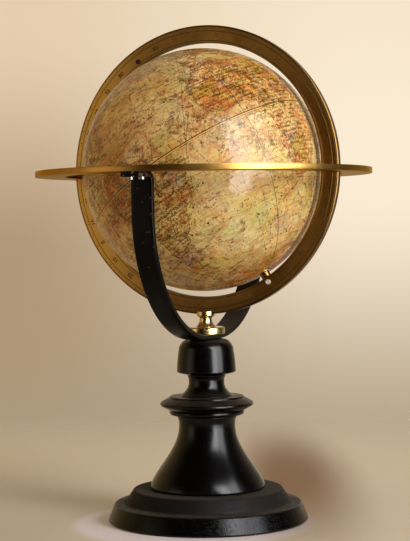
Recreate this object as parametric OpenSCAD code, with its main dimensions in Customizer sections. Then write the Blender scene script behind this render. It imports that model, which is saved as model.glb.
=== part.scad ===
// Small table globe: a papered plaster globe in a brass meridian ring, a brass horizon ring
// on a U-shaped black strap, and a turned black wooden stand.
// Origin: centre of the base's underside. +Z is up. The meridian ring stands in the XZ plane,
// with the north pole leaning towards -X. The strap stands in the YZ plane.

/* [Stand] */
// Diameter of the base where it meets the table
base_d = 126; // [120:1:132]
// Diameter of the base's lower step at its top edge
plinth_top_d = 118; // [114:1:119]
// Height of the base's lower step
plinth_h = 11.5; // [10:0.5:13]
// Diameter of the base's upper step at its foot
step_d = 103; // [98:1:108]
// Height of the whole base
base_h = 20.3; // [19:0.1:22]
// Diameter of the pedestal's foot
pedestal_d = 72.4; // [66:0.2:80]
// Diameter of the pedestal at its narrowest
pedestal_neck_d = 35.4; // [32:0.2:36]
// Height of the pedestal
pedestal_h = 45.7; // [42:0.1:50]
// Diameter of the collar
collar_d = 59; // [54:0.5:62]
// Height of the collar
collar_h = 12.4; // [12:0.1:14]
// Diameter of the neck under the dome
neck_d = 22.4; // [21:0.2:26]
// Diameter of the dome at its lip
dome_d = 37.2; // [35:0.2:40]
// Height of the neck and dome together
dome_cap_h = 35.8; // [35:0.1:38]

/* [Strap] */
// Width of the strap
strap_w = 14; // [11:0.5:16]
// Thickness of the strap
strap_t = 3; // [2.4:0.1:3.2]
// Distance over the outsides of the two arms
arm_span = 174; // [172:1:175]
// Outer radius of the two large bends
bend_r = 80; // [76:1:81]
// Reach of each foot beyond its arm
foot_reach = 12.5; // [11:0.5:14]

/* [Brass rings] */
// Outer diameter of the meridian ring
meridian_d = 181; // [180.6:0.1:181.8]
// Width of the meridian ring's face
meridian_w = 11; // [10.5:0.1:11.2]
// Thickness of the meridian ring
meridian_t = 4.5; // [3.5:0.1:5]
// Outer diameter of the horizon ring
horizon_d = 211; // [206:1:216]
// Inner diameter of the horizon ring
horizon_bore_d = 173; // [172:0.5:175]
// Thickness of the horizon ring
horizon_t = 3.5; // [3.2:0.1:4]

/* [Fork and clamp] */
// Diameter of the clamp washer
washer_d = 24; // [20:0.5:27]
// Thickness of the clamp washer
washer_t = 4.6; // [3:0.1:6]
// Diameter of the fork at its cheeks
fork_d = 11.4; // [10.5:0.1:13]
// Diameter of the fork's waist
fork_waist_d = 7.7; // [7.4:0.1:8.6]
// Height of the fork from the clamp washer to the floor of its slot
fork_h = 8; // [7.5:0.1:10]
// Depth of the fork's slot
slot_depth = 2.5; // [2:0.1:3]
// Diameter of the iron tie rod
rod_d = 4; // [3:0.1:4]

/* [Globe] */
// Diameter of the globe over its paper
globe_d = 152; // [151.4:0.1:152.2]
// Lean of the polar axis from upright, in degrees
pole_lean = 32; // [10:1:60]
// Number of paper gores
gore_count = 12; // [8:1:18]
// Half angle of the paper cap at each pole, in degrees
calotte_angle = 10; // [8:1:14]
// Thickness of the paper
paper_t = 0.3; // [0.2:0.05:0.4]
// Thickness of the plaster coat
plaster_t = 1.4; // [1:0.1:1.6]
// Thickness of the pasteboard half shells
shell_t = 2.2; // [1.8:0.1:2.4]
// Diameter of the wooden post between the poles
post_d = 14; // [13:0.5:18]
// Diameter of the polar pins
pin_d = 2.4; // [2:0.1:2.6]

/* [Hidden] */
$fn = 96;

ebony = "#17130f";
raw_wood = "#a5815a";
iron = "#4c4a48";
japan_black = "#15151a";
brass = "#b58f3c";
old_brass = "#6e4d1c";
steel = "#8b8b88";
pasteboard = "#a88e68";
plaster_white = "#e6dfcf";
map_paper = "#d9bd85";

// Clearances: a hole round a rod, a fitted joint, glue between two skins, a moving fit
rod_gap = 0.3;
joint_gap = 0.1;
glue_gap = 0.05;
running_gap = 0.05;
past = 1;

// Heights in the stand, from the table up
pedestal_z = base_h;
collar_z = pedestal_z + pedestal_h;
dome_cap_z = collar_z + collar_h;
strap_z = dome_cap_z + dome_cap_h;
washer_z = strap_z + strap_t;
fork_z = washer_z + washer_t;
slot_z = fork_z + fork_h;
slot_gap = 0.1;
meridian_r = meridian_d / 2;
globe_z = slot_z + slot_gap + meridian_r;
foot_z = globe_z - horizon_t - strap_t;
// Length that takes a bore right through the stand
bore_h = globe_z;

// Wooden joints: round tenons in round sockets
base_tenon_r = 9;
base_tenon_len = 9;
dome_tenon_r = 7;
dome_tenon_len = collar_h + 10;
recess_r = 11;
recess_h = 7;
nut_w = 8;
nut_h = 3.2;
tie_washer_r = 8;
tie_washer_t = 1.2;
rod_r = rod_d / 2;
rod_end_z = 1.4;
thread_depth = 4.2;
thread_end_gap = 0.3;

// Screws that hold the horizon ring on the feet
foot_screw_y = arm_span / 2 + 6.4;
foot_screw_x = 3.6;
foot_screw_r = 1;
foot_screw_head_r = 2.1;
foot_screw_head_t = 1.3;
foot_screw_bite = 2.4;
foot_screw_end_gap = 0.2;
screw_slot_w = 0.5;

// The horizon ring's two notches for the meridian ring
notch_side_gap = 0.25;
notch_end_gap = 0.7;

// Radii of the globe's skins, from outside in
globe_r = globe_d / 2;
plaster_r = globe_r - paper_t - glue_gap;
shell_r = plaster_r - plaster_t - glue_gap;
hollow_r = shell_r - shell_t;
seam_gap = 0.05;
seam_angle = seam_gap / globe_r * 180 / PI;

// Bearings at the poles, as distances from the globe's centre along the polar axis
meridian_inner_r = meridian_r - meridian_w;
pin_r = pin_d / 2;
pin_inner = globe_r - 11.5;
pin_outer = meridian_r - 0.3;
spacer_r = 3.1;
spacer_inner = globe_r + 0.5;
spacer_outer = meridian_inner_r - 0.2;
bush_r = 2.6;
bush_inner = globe_r - 14;
bush_flange_r = 4.4;
bush_flange_t = 0.7;
bush_outer = globe_r + 0.15;
flange_seat = bush_outer - bush_flange_t;
post_end = sqrt(hollow_r * hollow_r - post_d * post_d / 4) - glue_gap;
lock_screw_at = meridian_inner_r + 3.2;
lock_screw_r = 0.7;
lock_head_r = 1.5;
lock_head_t = 0.9;
nail_count = 4;
nail_circle_r = 5;
nail_r = 0.5;
nail_head_r = 1;
nail_head_t = 0.6;
nail_top = sqrt(shell_r * shell_r - pow(nail_circle_r + nail_head_r, 2)) - glue_gap;
nail_len = 10;

// Points on a circular arc, from angle a0 to angle a1
function arc(x, y, r, a0, a1, steps) =
    [for (i = [0:steps]) let (a = a0 + (a1 - a0) * i / steps) [x + r * cos(a), y + r * sin(a)]];

// Points on an eased curve from [r0, z0] to [r1, z1], both ends running along the axis
function ease(r0, z0, r1, z1, bias, steps) =
    [for (i = [0:steps]) let (t = i / steps)
        [r0 + (r1 - r0) * (1 - cos(180 * pow(t, bias))) / 2, z0 + (z1 - z0) * t]];

// Points on a flare from [r0, z0], where it stands upright, that runs out gently at [r1, z1]
function flare(r0, z0, r1, z1, power, steps) =
    [for (i = [0:steps]) let (t = i / steps)
        [r0 + (r1 - r0) * pow(sin(90 * t), power), z0 + (z1 - z0) * t]];

// Points on a side that draws in more and more from [r0, z0] to [r1, z1]
function bow(r0, z0, r1, z1, power, steps) =
    [for (i = [0:steps]) let (t = i / steps) [r0 + (r1 - r0) * pow(t, power), z0 + (z1 - z0) * t]];

// Solid of revolution from its outline, with the tie rod's hole through it
module turned(outline, hole_r) {
    difference() {
        rotate_extrude() polygon(outline);
        translate([0, 0, -past]) cylinder(r = hole_r, h = bore_h);
    }
}

// A ring-shaped disc standing on z = 0
module disc(r, hole_r, h) {
    difference() {
        cylinder(r = r, h = h);
        translate([0, 0, -past]) cylinder(r = hole_r, h = h + 2 * past);
    }
}

// Moves children from the polar axis (local Z, origin at the globe's centre) into place
module on_polar_axis() {
    translate([0, 0, globe_z]) rotate([0, -pole_lean, 0]) children();
}

// Turns children over, from the north pole to the south
module at_south() {
    rotate([180, 0, 0]) children();
}

module slotted_head(r, t) {
    difference() {
        cylinder(r = r, h = t);
        translate([-r - past, -screw_slot_w / 2, -past]) cube([2 * (r + past), screw_slot_w, past + t / 2]);
    }
}

module base() {
    rim_r = 2;
    step_top_r = step_d / 2 - 4;
    foot_bevel = 1.2;
    color(ebony) difference() {
        turned(concat(
            [[0, 0], [base_d / 2 - foot_bevel, 0], [base_d / 2, foot_bevel]],
            arc(plinth_top_d / 2 - rim_r + 0.6, plinth_h - rim_r, rim_r, 15, 90, 6),
            [[step_d / 2, plinth_h], [step_d / 2 - 0.6, plinth_h + 2.5]],
            arc(step_top_r - 1.6, base_h - 1.6, 1.6, 25, 90, 5),
            [[0, base_h]]), rod_r + rod_gap);
        translate([0, 0, -past]) cylinder(r = recess_r, h = recess_h + past);
        translate([0, 0, base_h - base_tenon_len])
            cylinder(r = base_tenon_r, h = base_tenon_len + past);
    }
}

module pedestal() {
    foot_bead = 1.1;
    waist_z = pedestal_z + 0.87 * pedestal_h;
    lip_r = pedestal_neck_d / 2 + 1.1;
    tenon_r = base_tenon_r - joint_gap;
    tenon_z = pedestal_z - base_tenon_len + joint_gap;
    color(ebony) difference() {
        turned(concat(
            [[0, tenon_z], [tenon_r, tenon_z], [tenon_r, pedestal_z]],
            arc(pedestal_d / 2 - foot_bead, pedestal_z + foot_bead, foot_bead, -90, 0, 4),
            flare(pedestal_d / 2, pedestal_z + 1.6, pedestal_neck_d / 2, waist_z, 1.4, 24),
            ease(pedestal_neck_d / 2, waist_z + 0.5, lip_r, collar_z, 1.6, 8),
            [[0, collar_z]]), rod_r + rod_gap);
        translate([0, 0, dome_cap_z - dome_tenon_len]) cylinder(r = dome_tenon_r, h = dome_tenon_len);
    }
}

module collar() {
    ring_r = 0.4 * collar_d;
    edge_z = collar_z + 7.5;
    edge_r = 1.3;
    color(ebony) turned(concat(
        [[0, collar_z], [pedestal_neck_d / 2 + 1.3, collar_z]],
        arc(ring_r - 1.8, collar_z + 2.4, 1.8, -60, 70, 6),
        [[ring_r + 0.6, collar_z + 3.8]],
        arc(collar_d / 2 - edge_r, edge_z, edge_r, -55, 60, 6),
        arc(collar_d / 2 - 7.4, edge_z - 3.4, 7.4, 64, 84, 4),
        [[ring_r, collar_z + collar_h - 1.2]],
        arc(ring_r - 0.8, collar_z + collar_h - 0.8, 0.8, 0, 90, 4),
        [[0, collar_z + collar_h]]), dome_tenon_r);
}

module dome_cap() {
    tenon_r = dome_tenon_r - joint_gap;
    tenon_z = dome_cap_z - dome_tenon_len + joint_gap;
    neck_z = dome_cap_z + 8.6;
    lip_z = dome_cap_z + 15.4;
    crown_r = 7;
    crown_x = dome_d / 2 - 1.2 - crown_r;
    crown_z = strap_z - crown_r;
    side_end = [crown_x + crown_r * cos(12), crown_z + crown_r * sin(12) - 0.6];
    color(ebony) turned(concat(
        [[0, tenon_z], [tenon_r, tenon_z], [tenon_r, dome_cap_z]],
        ease(neck_d / 2 + 5.4, dome_cap_z, neck_d / 2, neck_z, 0.6, 10),
        ease(neck_d / 2, neck_z + 0.5, neck_d / 2 + 1, lip_z - 2, 1.8, 6),
        [[dome_d / 2 - 0.4, lip_z - 0.4]],
        bow(dome_d / 2, lip_z + 0.2, side_end[0], side_end[1], 1.8, 8),
        arc(crown_x, crown_z, crown_r, 12, 90, 12),
        [[0, strap_z]]), rod_r + rod_gap);
}

module tie_rod() {
    rod_top_z = fork_z + thread_depth - thread_end_gap;
    color(iron) translate([0, 0, rod_end_z]) cylinder(r = rod_r, h = rod_top_z - rod_end_z);
}

module tie_washer() {
    color(iron) translate([0, 0, recess_h - tie_washer_t])
        disc(tie_washer_r, rod_r + rod_gap, tie_washer_t);
}

module tie_nut() {
    color(iron) translate([0, 0, recess_h - tie_washer_t - nut_h]) difference() {
        translate([-nut_w / 2, -nut_w / 2, 0]) cube([nut_w, nut_w, nut_h]);
        translate([0, 0, -past]) cylinder(r = rod_r + running_gap, h = nut_h + 2 * past);
    }
}

// One half of the strap's side view, drawn with its bottom on y = 0
module half_strap() {
    half = arm_span / 2;
    bend_x = half - bend_r;
    foot_y = foot_z - strap_z;
    corner_r = 1.5;
    square([bend_x, strap_t]);
    translate([bend_x, bend_r]) intersection() {
        difference() {
            circle(r = bend_r);
            circle(r = bend_r - strap_t);
        }
        translate([0, -bend_r - past]) square([bend_r + past, bend_r + past]);
    }
    translate([half - strap_t, bend_r]) square([strap_t, foot_y - bend_r - corner_r]);
    translate([half + corner_r, foot_y - corner_r]) intersection() {
        difference() {
            circle(r = corner_r + strap_t);
            circle(r = corner_r);
        }
        translate([-corner_r - strap_t - past, 0]) square(corner_r + strap_t + past);
    }
    translate([half + corner_r, foot_y]) square([foot_reach - corner_r, strap_t]);
}

// The screws' places on both feet
module at_foot_screws() {
    for (y = [-foot_screw_y, foot_screw_y])
        for (x = [-foot_screw_x, foot_screw_x])
            translate([x, y, foot_z]) children();
}

module yoke_strap() {
    color(japan_black) difference() {
        translate([strap_w / 2, 0, strap_z]) rotate([90, 0, -90]) linear_extrude(strap_w) {
            half_strap();
            mirror([1, 0]) half_strap();
        }
        translate([0, 0, strap_z - past])
            cylinder(r = rod_r + rod_gap, h = strap_t + 2 * past);
        at_foot_screws() translate([0, 0, -past])
            cylinder(r = foot_screw_r + joint_gap, h = strap_t + 2 * past);
    }
}

module yoke_screws() {
    color(steel) at_foot_screws() {
        translate([0, 0, -foot_screw_head_t]) slotted_head(foot_screw_head_r, foot_screw_head_t);
        cylinder(r = foot_screw_r, h = strap_t + foot_screw_bite);
    }
}

// Its underside bears on the strap's flat and rises towards its rim, clear of the strap's bends
module clamp_washer() {
    bevel = 0.6;
    rim_lift = 0.35;
    seat_r = min(arm_span / 2 - bend_r, washer_d / 2 - rim_lift) - joint_gap;
    color(brass) turned([
        [0, washer_z],
        [seat_r, washer_z],
        [washer_d / 2, washer_z + rim_lift],
        [washer_d / 2, fork_z - bevel],
        [washer_d / 2 - bevel, fork_z],
        [0, fork_z]], rod_r + rod_gap);
}

module ring_fork() {
    cheek_z = slot_z + slot_depth;
    waist_z = fork_z + 0.62 * fork_h;
    shoulder_z = slot_z - 0.6;
    color(brass) difference() {
        rotate_extrude() polygon(concat(
            [[0, fork_z]],
            ease(fork_waist_d / 2 + 2.4, fork_z, fork_waist_d / 2, waist_z, 0.6, 10),
            ease(fork_waist_d / 2, waist_z + 0.3, fork_d / 2, shoulder_z, 1.5, 8),
            arc(fork_d / 2 - 1.2, cheek_z - 1.2, 1.2, 0, 90, 5),
            [[0, cheek_z]]));
        translate([0, 0, fork_z - past])
            cylinder(r = rod_r + running_gap, h = thread_depth + past);
        translate([0, meridian_t / 2 + notch_side_gap, globe_z]) rotate([90, 0, 0])
            cylinder(r = meridian_r + slot_gap, h = meridian_t + 2 * notch_side_gap, $fn = 180);
    }
}

module horizon_ring() {
    notch_r = meridian_r + notch_end_gap;
    notch_w = meridian_t + 2 * notch_side_gap;
    color(old_brass) difference() {
        translate([0, 0, globe_z - horizon_t]) disc(horizon_d / 2, horizon_bore_d / 2, horizon_t);
        translate([-notch_r, -notch_w / 2, globe_z - horizon_t - past])
            cube([2 * notch_r, notch_w, horizon_t + 2 * past]);
        at_foot_screws() translate([0, 0, strap_t - past])
            cylinder(r = foot_screw_r + joint_gap, h = foot_screw_bite + foot_screw_end_gap + past);
    }
}

// The hole for a lock screw, or the screw's shank, from the ring's face in to the pin
module lock_shank(r) {
    translate([0, -meridian_t / 2, lock_screw_at]) rotate([-90, 0, 0])
        cylinder(r = r, h = meridian_t / 2 - pin_r - running_gap);
}

module meridian_ring() {
    hole_r = pin_r + running_gap;
    color(old_brass) difference() {
        translate([0, meridian_t / 2, globe_z]) rotate([90, 0, 0])
            disc(meridian_r, meridian_inner_r, meridian_t);
        on_polar_axis() {
            translate([0, 0, -meridian_r - past]) cylinder(r = hole_r, h = 2 * (meridian_r + past));
            lock_shank(lock_screw_r + running_gap);
            mirror([0, 0, 1]) lock_shank(lock_screw_r + running_gap);
        }
    }
}

module pole_pin() {
    translate([0, 0, pin_inner]) cylinder(r = pin_r, h = pin_outer - pin_inner);
}

module north_pin() {
    color(steel) on_polar_axis() pole_pin();
}

module south_pin() {
    color(steel) on_polar_axis() at_south() pole_pin();
}

module pole_spacer() {
    translate([0, 0, spacer_inner]) disc(spacer_r, pin_r + running_gap, spacer_outer - spacer_inner);
}

module north_spacer() {
    color(brass) on_polar_axis() pole_spacer();
}

module south_spacer() {
    color(brass) on_polar_axis() at_south() pole_spacer();
}

module lock_screw() {
    lock_shank(lock_screw_r);
    translate([0, -meridian_t / 2 - lock_head_t, lock_screw_at]) rotate([-90, 0, 0])
        slotted_head(lock_head_r, lock_head_t);
}

module pin_lock_screws() {
    color(steel) on_polar_axis() {
        lock_screw();
        mirror([0, 0, 1]) lock_screw();
    }
}

module pole_bush() {
    bore_r = pin_r + running_gap;
    translate([0, 0, bush_inner]) disc(bush_r, bore_r, bush_outer - bush_inner);
    translate([0, 0, flange_seat]) disc(bush_flange_r, bore_r, bush_flange_t);
}

module north_bush() {
    color(brass) on_polar_axis() pole_bush();
}

module south_bush() {
    color(brass) on_polar_axis() at_south() pole_bush();
}

module axle_post() {
    socket_depth = post_end - bush_inner + joint_gap;
    color(raw_wood) on_polar_axis() difference() {
        translate([0, 0, -post_end]) cylinder(r = post_d / 2, h = 2 * post_end);
        for (side = [0, 1])
            mirror([0, 0, side]) translate([0, 0, post_end - socket_depth])
                cylinder(r = bush_r + running_gap, h = socket_depth + past);
    }
}

module shell_nails() {
    color(iron) on_polar_axis() for (side = [0, 1])
        mirror([0, 0, side]) for (i = [0:nail_count - 1])
            rotate([0, 0, 360 * i / nail_count]) translate([nail_circle_r, 0, nail_top]) {
                translate([0, 0, -nail_head_t]) cylinder(r = nail_head_r, h = nail_head_t);
                translate([0, 0, -nail_len]) cylinder(r = nail_r, h = nail_len);
            }
}

// Outline of a spherical skin between two polar angles, for turning round the axis
module skin_outline(outer_r, inner_r, from_angle, to_angle) {
    reach = 2 * outer_r;
    middle = (from_angle + to_angle) / 2;
    intersection() {
        difference() {
            circle(r = outer_r, $fn = 180);
            circle(r = inner_r, $fn = 180);
        }
        polygon([for (a = [from_angle, middle, to_angle]) [reach * sin(a), reach * cos(a)], [0, 0]]);
    }
}

// A spherical skin turned all the way round, with the bushes' holes at its poles
module skin(outer_r, inner_r, from_angle, to_angle) {
    difference() {
        rotate_extrude() skin_outline(outer_r, inner_r, from_angle, to_angle);
        translate([0, 0, -globe_r - past])
            cylinder(r = bush_r + running_gap, h = 2 * (globe_r + past));
        for (side = [0, 1])
            mirror([0, 0, side]) translate([0, 0, flange_seat])
                cylinder(r = bush_flange_r + joint_gap, h = bush_flange_t + past);
    }
}

module half_shell() {
    skin(shell_r, hollow_r, 0, 90);
}

module north_shell() {
    color(pasteboard) on_polar_axis() half_shell();
}

module south_shell() {
    color(pasteboard) on_polar_axis() at_south() half_shell();
}

module plaster_coat() {
    color(plaster_white) on_polar_axis() skin(plaster_r, plaster_r - plaster_t, 0, 180);
}

module map_gores() {
    gore_angle = 360 / gore_count;
    color(map_paper) on_polar_axis() for (i = [0:gore_count - 1])
        rotate([0, 0, gore_angle * i]) rotate_extrude(angle = gore_angle - seam_angle)
            skin_outline(globe_r, globe_r - paper_t, calotte_angle, 180 - calotte_angle);
}

module map_calottes() {
    color(map_paper) on_polar_axis() for (side = [0, 1])
        mirror([0, 0, side]) skin(globe_r, globe_r - paper_t, 0, calotte_angle - seam_angle);
}

base();
pedestal();
collar();
dome_cap();
tie_rod();
tie_washer();
tie_nut();
yoke_strap();
yoke_screws();
clamp_washer();
ring_fork();
horizon_ring();
meridian_ring();
north_pin();
south_pin();
north_spacer();
south_spacer();
pin_lock_screws();
north_bush();
south_bush();
axle_post();
shell_nails();
north_shell();
south_shell();
plaster_coat();
map_gores();
map_calottes();
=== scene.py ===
# Small table globe in a brass meridian ring, on a black strap and a turned black stand.
import math
import random

import bmesh
import bpy
import numpy as np
from mathutils import Matrix, Vector, noise
from mathutils.kdtree import KDTree


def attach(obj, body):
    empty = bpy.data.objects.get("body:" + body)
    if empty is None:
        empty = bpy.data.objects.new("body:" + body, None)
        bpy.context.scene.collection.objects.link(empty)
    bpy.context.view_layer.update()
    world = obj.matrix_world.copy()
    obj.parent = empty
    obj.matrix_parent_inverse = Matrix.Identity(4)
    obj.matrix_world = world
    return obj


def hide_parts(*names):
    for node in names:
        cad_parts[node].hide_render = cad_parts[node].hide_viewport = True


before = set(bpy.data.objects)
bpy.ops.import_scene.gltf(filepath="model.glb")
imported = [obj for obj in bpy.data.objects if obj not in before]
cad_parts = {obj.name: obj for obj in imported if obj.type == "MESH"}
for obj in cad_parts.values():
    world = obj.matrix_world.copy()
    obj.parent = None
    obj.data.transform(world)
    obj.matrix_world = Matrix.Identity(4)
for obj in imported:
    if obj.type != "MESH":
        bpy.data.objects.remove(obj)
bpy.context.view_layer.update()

mm = 0.001
centreHeight, poleLean = 220.4, 32  # mm, degrees
globeCentre = Vector((0, 0, centreHeight)) * mm
faceUp = Matrix.Translation(globeCentre)
faceFront = faceUp @ Matrix.Rotation(math.pi / 2, 4, "X")
polarFrame = faceUp @ Matrix.Rotation(-math.radians(poleLean), 4, "Y")
print("frame loaded:", len(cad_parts), "nodes")


# Outlines and meshes

def turnZ(degrees):
    return Matrix.Rotation(math.radians(degrees), 4, "Z")


def arc(x, y, radius, fromAngle, toAngle, steps=12):
    angles = [math.radians(fromAngle + (toAngle - fromAngle) * i / steps) for i in range(steps + 1)]
    return [(x + radius * math.cos(a), y + radius * math.sin(a)) for a in angles]


def curved(r0, z0, r1, z1, rise, steps):  # from one (radius, height) to another
    return [(r0 + (r1 - r0) * rise(i / steps), z0 + (z1 - z0) * i / steps) for i in range(steps + 1)]


def ease(r0, z0, r1, z1, bias, steps=24):
    return curved(r0, z0, r1, z1, lambda t: (1 - math.cos(math.pi * t ** bias)) / 2, steps)


def flare(r0, z0, r1, z1, power, steps=60):
    return curved(r0, z0, r1, z1, lambda t: math.sin(math.pi / 2 * t) ** power, steps)


def bow(r0, z0, r1, z1, power, steps=16):
    return curved(r0, z0, r1, z1, lambda t: t ** power, steps)


def softened(outline, radius, sharpAngle=14, steps=4):  # rounds every sharp corner of a closed outline
    points = [Vector(p) for p in outline]
    result = []
    for i, here in enumerate(points):
        before, after = points[i - 1] - here, points[(i + 1) % len(points)] - here
        turn = math.pi - before.angle(after)
        if math.degrees(turn) < sharpAngle:
            result.append(tuple(here))
            continue
        reach = min(radius * math.tan(turn / 2), before.length * 0.45, after.length * 0.45)
        start, end = here + before.normalized() * reach, here + after.normalized() * reach
        for t in (k / steps for k in range(steps + 1)):
            result.append(tuple(start * (1 - t) ** 2 + here * 2 * t * (1 - t) + end * t * t))
    return result


def addToScene(mesh, material, smooth=True):
    mesh.polygons.foreach_set("use_smooth", [smooth] * len(mesh.polygons))
    mesh.materials.append(material)
    thing = bpy.data.objects.new(mesh.name, mesh)
    bpy.context.scene.collection.objects.link(thing)
    return thing


def meshObject(name, vertices, faces, material, smooth=True):
    mesh = bpy.data.meshes.new(name)
    mesh.from_pydata([tuple(v) for v in vertices], [], faces)
    mesh.validate()
    build = bmesh.new()
    build.from_mesh(mesh)
    bmesh.ops.remove_doubles(build, verts=build.verts, dist=2e-7)
    bmesh.ops.delete(build, geom=[e for e in build.edges if not e.link_faces], context="EDGES")
    bmesh.ops.recalc_face_normals(build, faces=build.faces)
    build.to_mesh(mesh)
    build.free()
    return addToScene(mesh, material, smooth)


def gridFaces(rows, columns):  # quads over rows of points that close both ways
    return [(j * columns + i, (j + 1) % rows * columns + i, (j + 1) % rows * columns + (i + 1) % columns,
             j * columns + (i + 1) % columns) for j in range(rows) for i in range(columns)]


def turnedMesh(name, outline, material, segments, place=Matrix.Identity(4)):
    # turns a closed outline of (radius, height) in mm round the axis of place
    angles = [2 * math.pi * s / segments for s in range(segments)]
    vertices = [place @ (Vector((r * math.cos(a), r * math.sin(a), z)) * mm) for a in angles for r, z in outline]
    return meshObject(name, vertices, gridFaces(segments, len(outline)), material)


def sweptMesh(name, path, normals, section, material):
    # sweeps a closed section of (along the normal, along X) in mm, capped at both ends
    vertices = [(point + normal * u + Vector((w, 0, 0))) * mm for point, normal in zip(path, normals) for u, w in section]
    count, total = len(section), len(vertices)
    faces = [(a, d, c, b) for a, b, c, d in gridFaces(len(path), count)[:-count]]
    return meshObject(name, vertices, faces + [tuple(range(count)), tuple(range(total - count, total))], material)


def cutAway(thing, cutter):
    modifier = thing.modifiers.new("cut", "BOOLEAN")
    modifier.operation = "DIFFERENCE"
    modifier.solver = "EXACT"
    modifier.object = cutter
    bpy.context.view_layer.objects.active = thing
    bpy.ops.object.modifier_apply(modifier=modifier.name)
    bpy.data.objects.remove(cutter)


def slab(low, high):  # corners and faces of a box
    corners = [Vector((x, y, z)) for x in (low[0], high[0]) for y in (low[1], high[1]) for z in (low[2], high[2])]
    return corners, [(0, 1, 3, 2), (4, 6, 7, 5), (0, 4, 5, 1), (2, 3, 7, 6), (0, 2, 6, 4), (1, 5, 7, 3)]


def smoothByAngle(thing, angle=35):
    build = bmesh.new()
    build.from_mesh(thing.data)
    for edge in build.edges:
        edge.smooth = len(edge.link_faces) != 2 or edge.calc_face_angle(0) < math.radians(angle)
    for face in build.faces:
        face.smooth = True
    build.to_mesh(thing.data)
    build.free()
print("mesh helpers ready")


# Materials

class Signal:  # what one node gives out, to be reckoned with like a number
    def __init__(self, socket):
        self.socket, self.tree = socket, socket.id_data

    def math(self, operation, *others):
        return addNode(self.tree, "Math", (self, *others), operation=operation)

    def __abs__(self):
        return self.math("ABSOLUTE")

    def atLeast(self, other):
        return self.math("MAXIMUM", other)

    def atMost(self, other):
        return self.math("MINIMUM", other)

    def clamped(self):  # holds the last step of a sum between 0 and 1
        self.socket.node.use_clamp = True
        return self

    def between(self, low, high, fromValue=0.0, toValue=1.0):  # smooth step
        return addNode(self.tree, "MapRange", (self, low, high, fromValue, toValue), interpolation_type="SMOOTHSTEP")

    def below(self, low, high):  # 1 below both limits, nought above them
        return self.between(low, high, 1.0, 0.0)

    def noise(self, scale, detail=3.0, roughness=0.5, distortion=0.0):
        return addNode(self.tree, "TexNoise", {"Vector": self, "Scale": scale, "Detail": detail, "Roughness": roughness,
                                               "Distortion": distortion})

    def cells(self, scale):
        return addNode(self.tree, "TexVoronoi", {"Vector": self, "Scale": scale}, "Distance")

    def parts(self):
        return [Signal(socket) for socket in addNode(self.tree, "SeparateXYZ", (self,)).socket.node.outputs]

    def distance(self, point):
        return addNode(self.tree, "VectorMath", (self, point), "Value", operation="DISTANCE")

    def scaled(self, factors, offset=(0, 0, 0)):
        return addNode(self.tree, "VectorMath", (self, factors, offset), operation="MULTIPLY_ADD")

    def turned(self, factors, angle, shift=0.0):
        return addNode(self.tree, "Mapping", (self, (shift, shift, shift), (angle * 0.5, angle, 0), factors))

    def bump(self, strength, distance, normal=None):
        return addNode(self.tree, "Bump", {"Strength": strength, "Distance": distance, "Height": self,
                                           **({"Normal": normal} if normal else {})})


def feed(socket, value):
    if isinstance(value, Signal):
        socket.id_data.links.new(value.socket, socket)
    else:
        socket.default_value = value


def addNode(tree, kind, inputs=(), output=0, **settings):
    node = tree.nodes.new("ShaderNode" + kind)
    for name, value in settings.items():
        setattr(node, name, value)
    for key, value in inputs.items() if isinstance(inputs, dict) else enumerate(inputs):
        feed(node.inputs[key], value)
    return Signal(node.outputs[output])


for sign, operation in {"add": "ADD", "sub": "SUBTRACT", "mul": "MULTIPLY", "truediv": "DIVIDE", "pow": "POWER"}.items():
    setattr(Signal, f"__{sign}__", lambda a, b, operation=operation: a.math(operation, b))
    setattr(Signal, f"__r{sign}__", lambda a, b, operation=operation: addNode(a.tree, "Math", (b, a), operation=operation))


class Shading:  # the nodes of one material or of the world
    labels = {"colour": "Base Color", "coat": "Coat Weight", "coatRoughness": "Coat Roughness", "coatNormal": "Coat Normal",
              "coatTint": "Coat Tint", "specular": "Specular IOR Level", "edgeTint": "Specular Tint"}

    def __init__(self, name, owner=None):
        self.owner = owner or bpy.data.materials.new(name)
        self.owner.use_nodes = True
        self.tree = self.owner.node_tree

    def surface(self, **values):
        for name, value in values.items():
            feed(self.tree.nodes["Principled BSDF"].inputs[self.labels.get(name, name.capitalize())], value)
        return self.owner

    def mix(self, factor, a, b):
        return addNode(self.tree, "Mix", {0: factor, 6: a, 7: b}, 2, data_type="RGBA")

    def join(self, x, y):
        return addNode(self.tree, "CombineXYZ", (x, y))

    def coordinates(self, kind="Object"):
        return addNode(self.tree, "TexCoord", output=kind)

    def facing(self):  # which way the surface looks, in the row frame
        return addNode(self.tree, "NewGeometry", output="Normal")

    def attribute(self, name, output="Fac"):
        return addNode(self.tree, "Attribute", output=output, attribute_name=name)


def linear(red, green, blue):  # a colour written as it is seen, 0 to 255
    seen = [c / 255 for c in (red, green, blue)]
    return tuple(c / 12.92 if c <= 0.04045 else ((c + 0.055) / 1.055) ** 2.4 for c in seen) + (1,)


def turnedCoordinates(shade, axis, centre=(0, 0, 0)):
    # (radius, height along the axis) in metres, for rings left by a lathe
    place = shade.coordinates().scaled((1, 1, 1), tuple(-c for c in centre)).parts()
    across = [place[i] for i in range(3) if i != axis]
    radius = (across[0] ** 2 + across[1] ** 2).math("SQRT")
    return shade.join(radius, place[axis])


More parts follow.
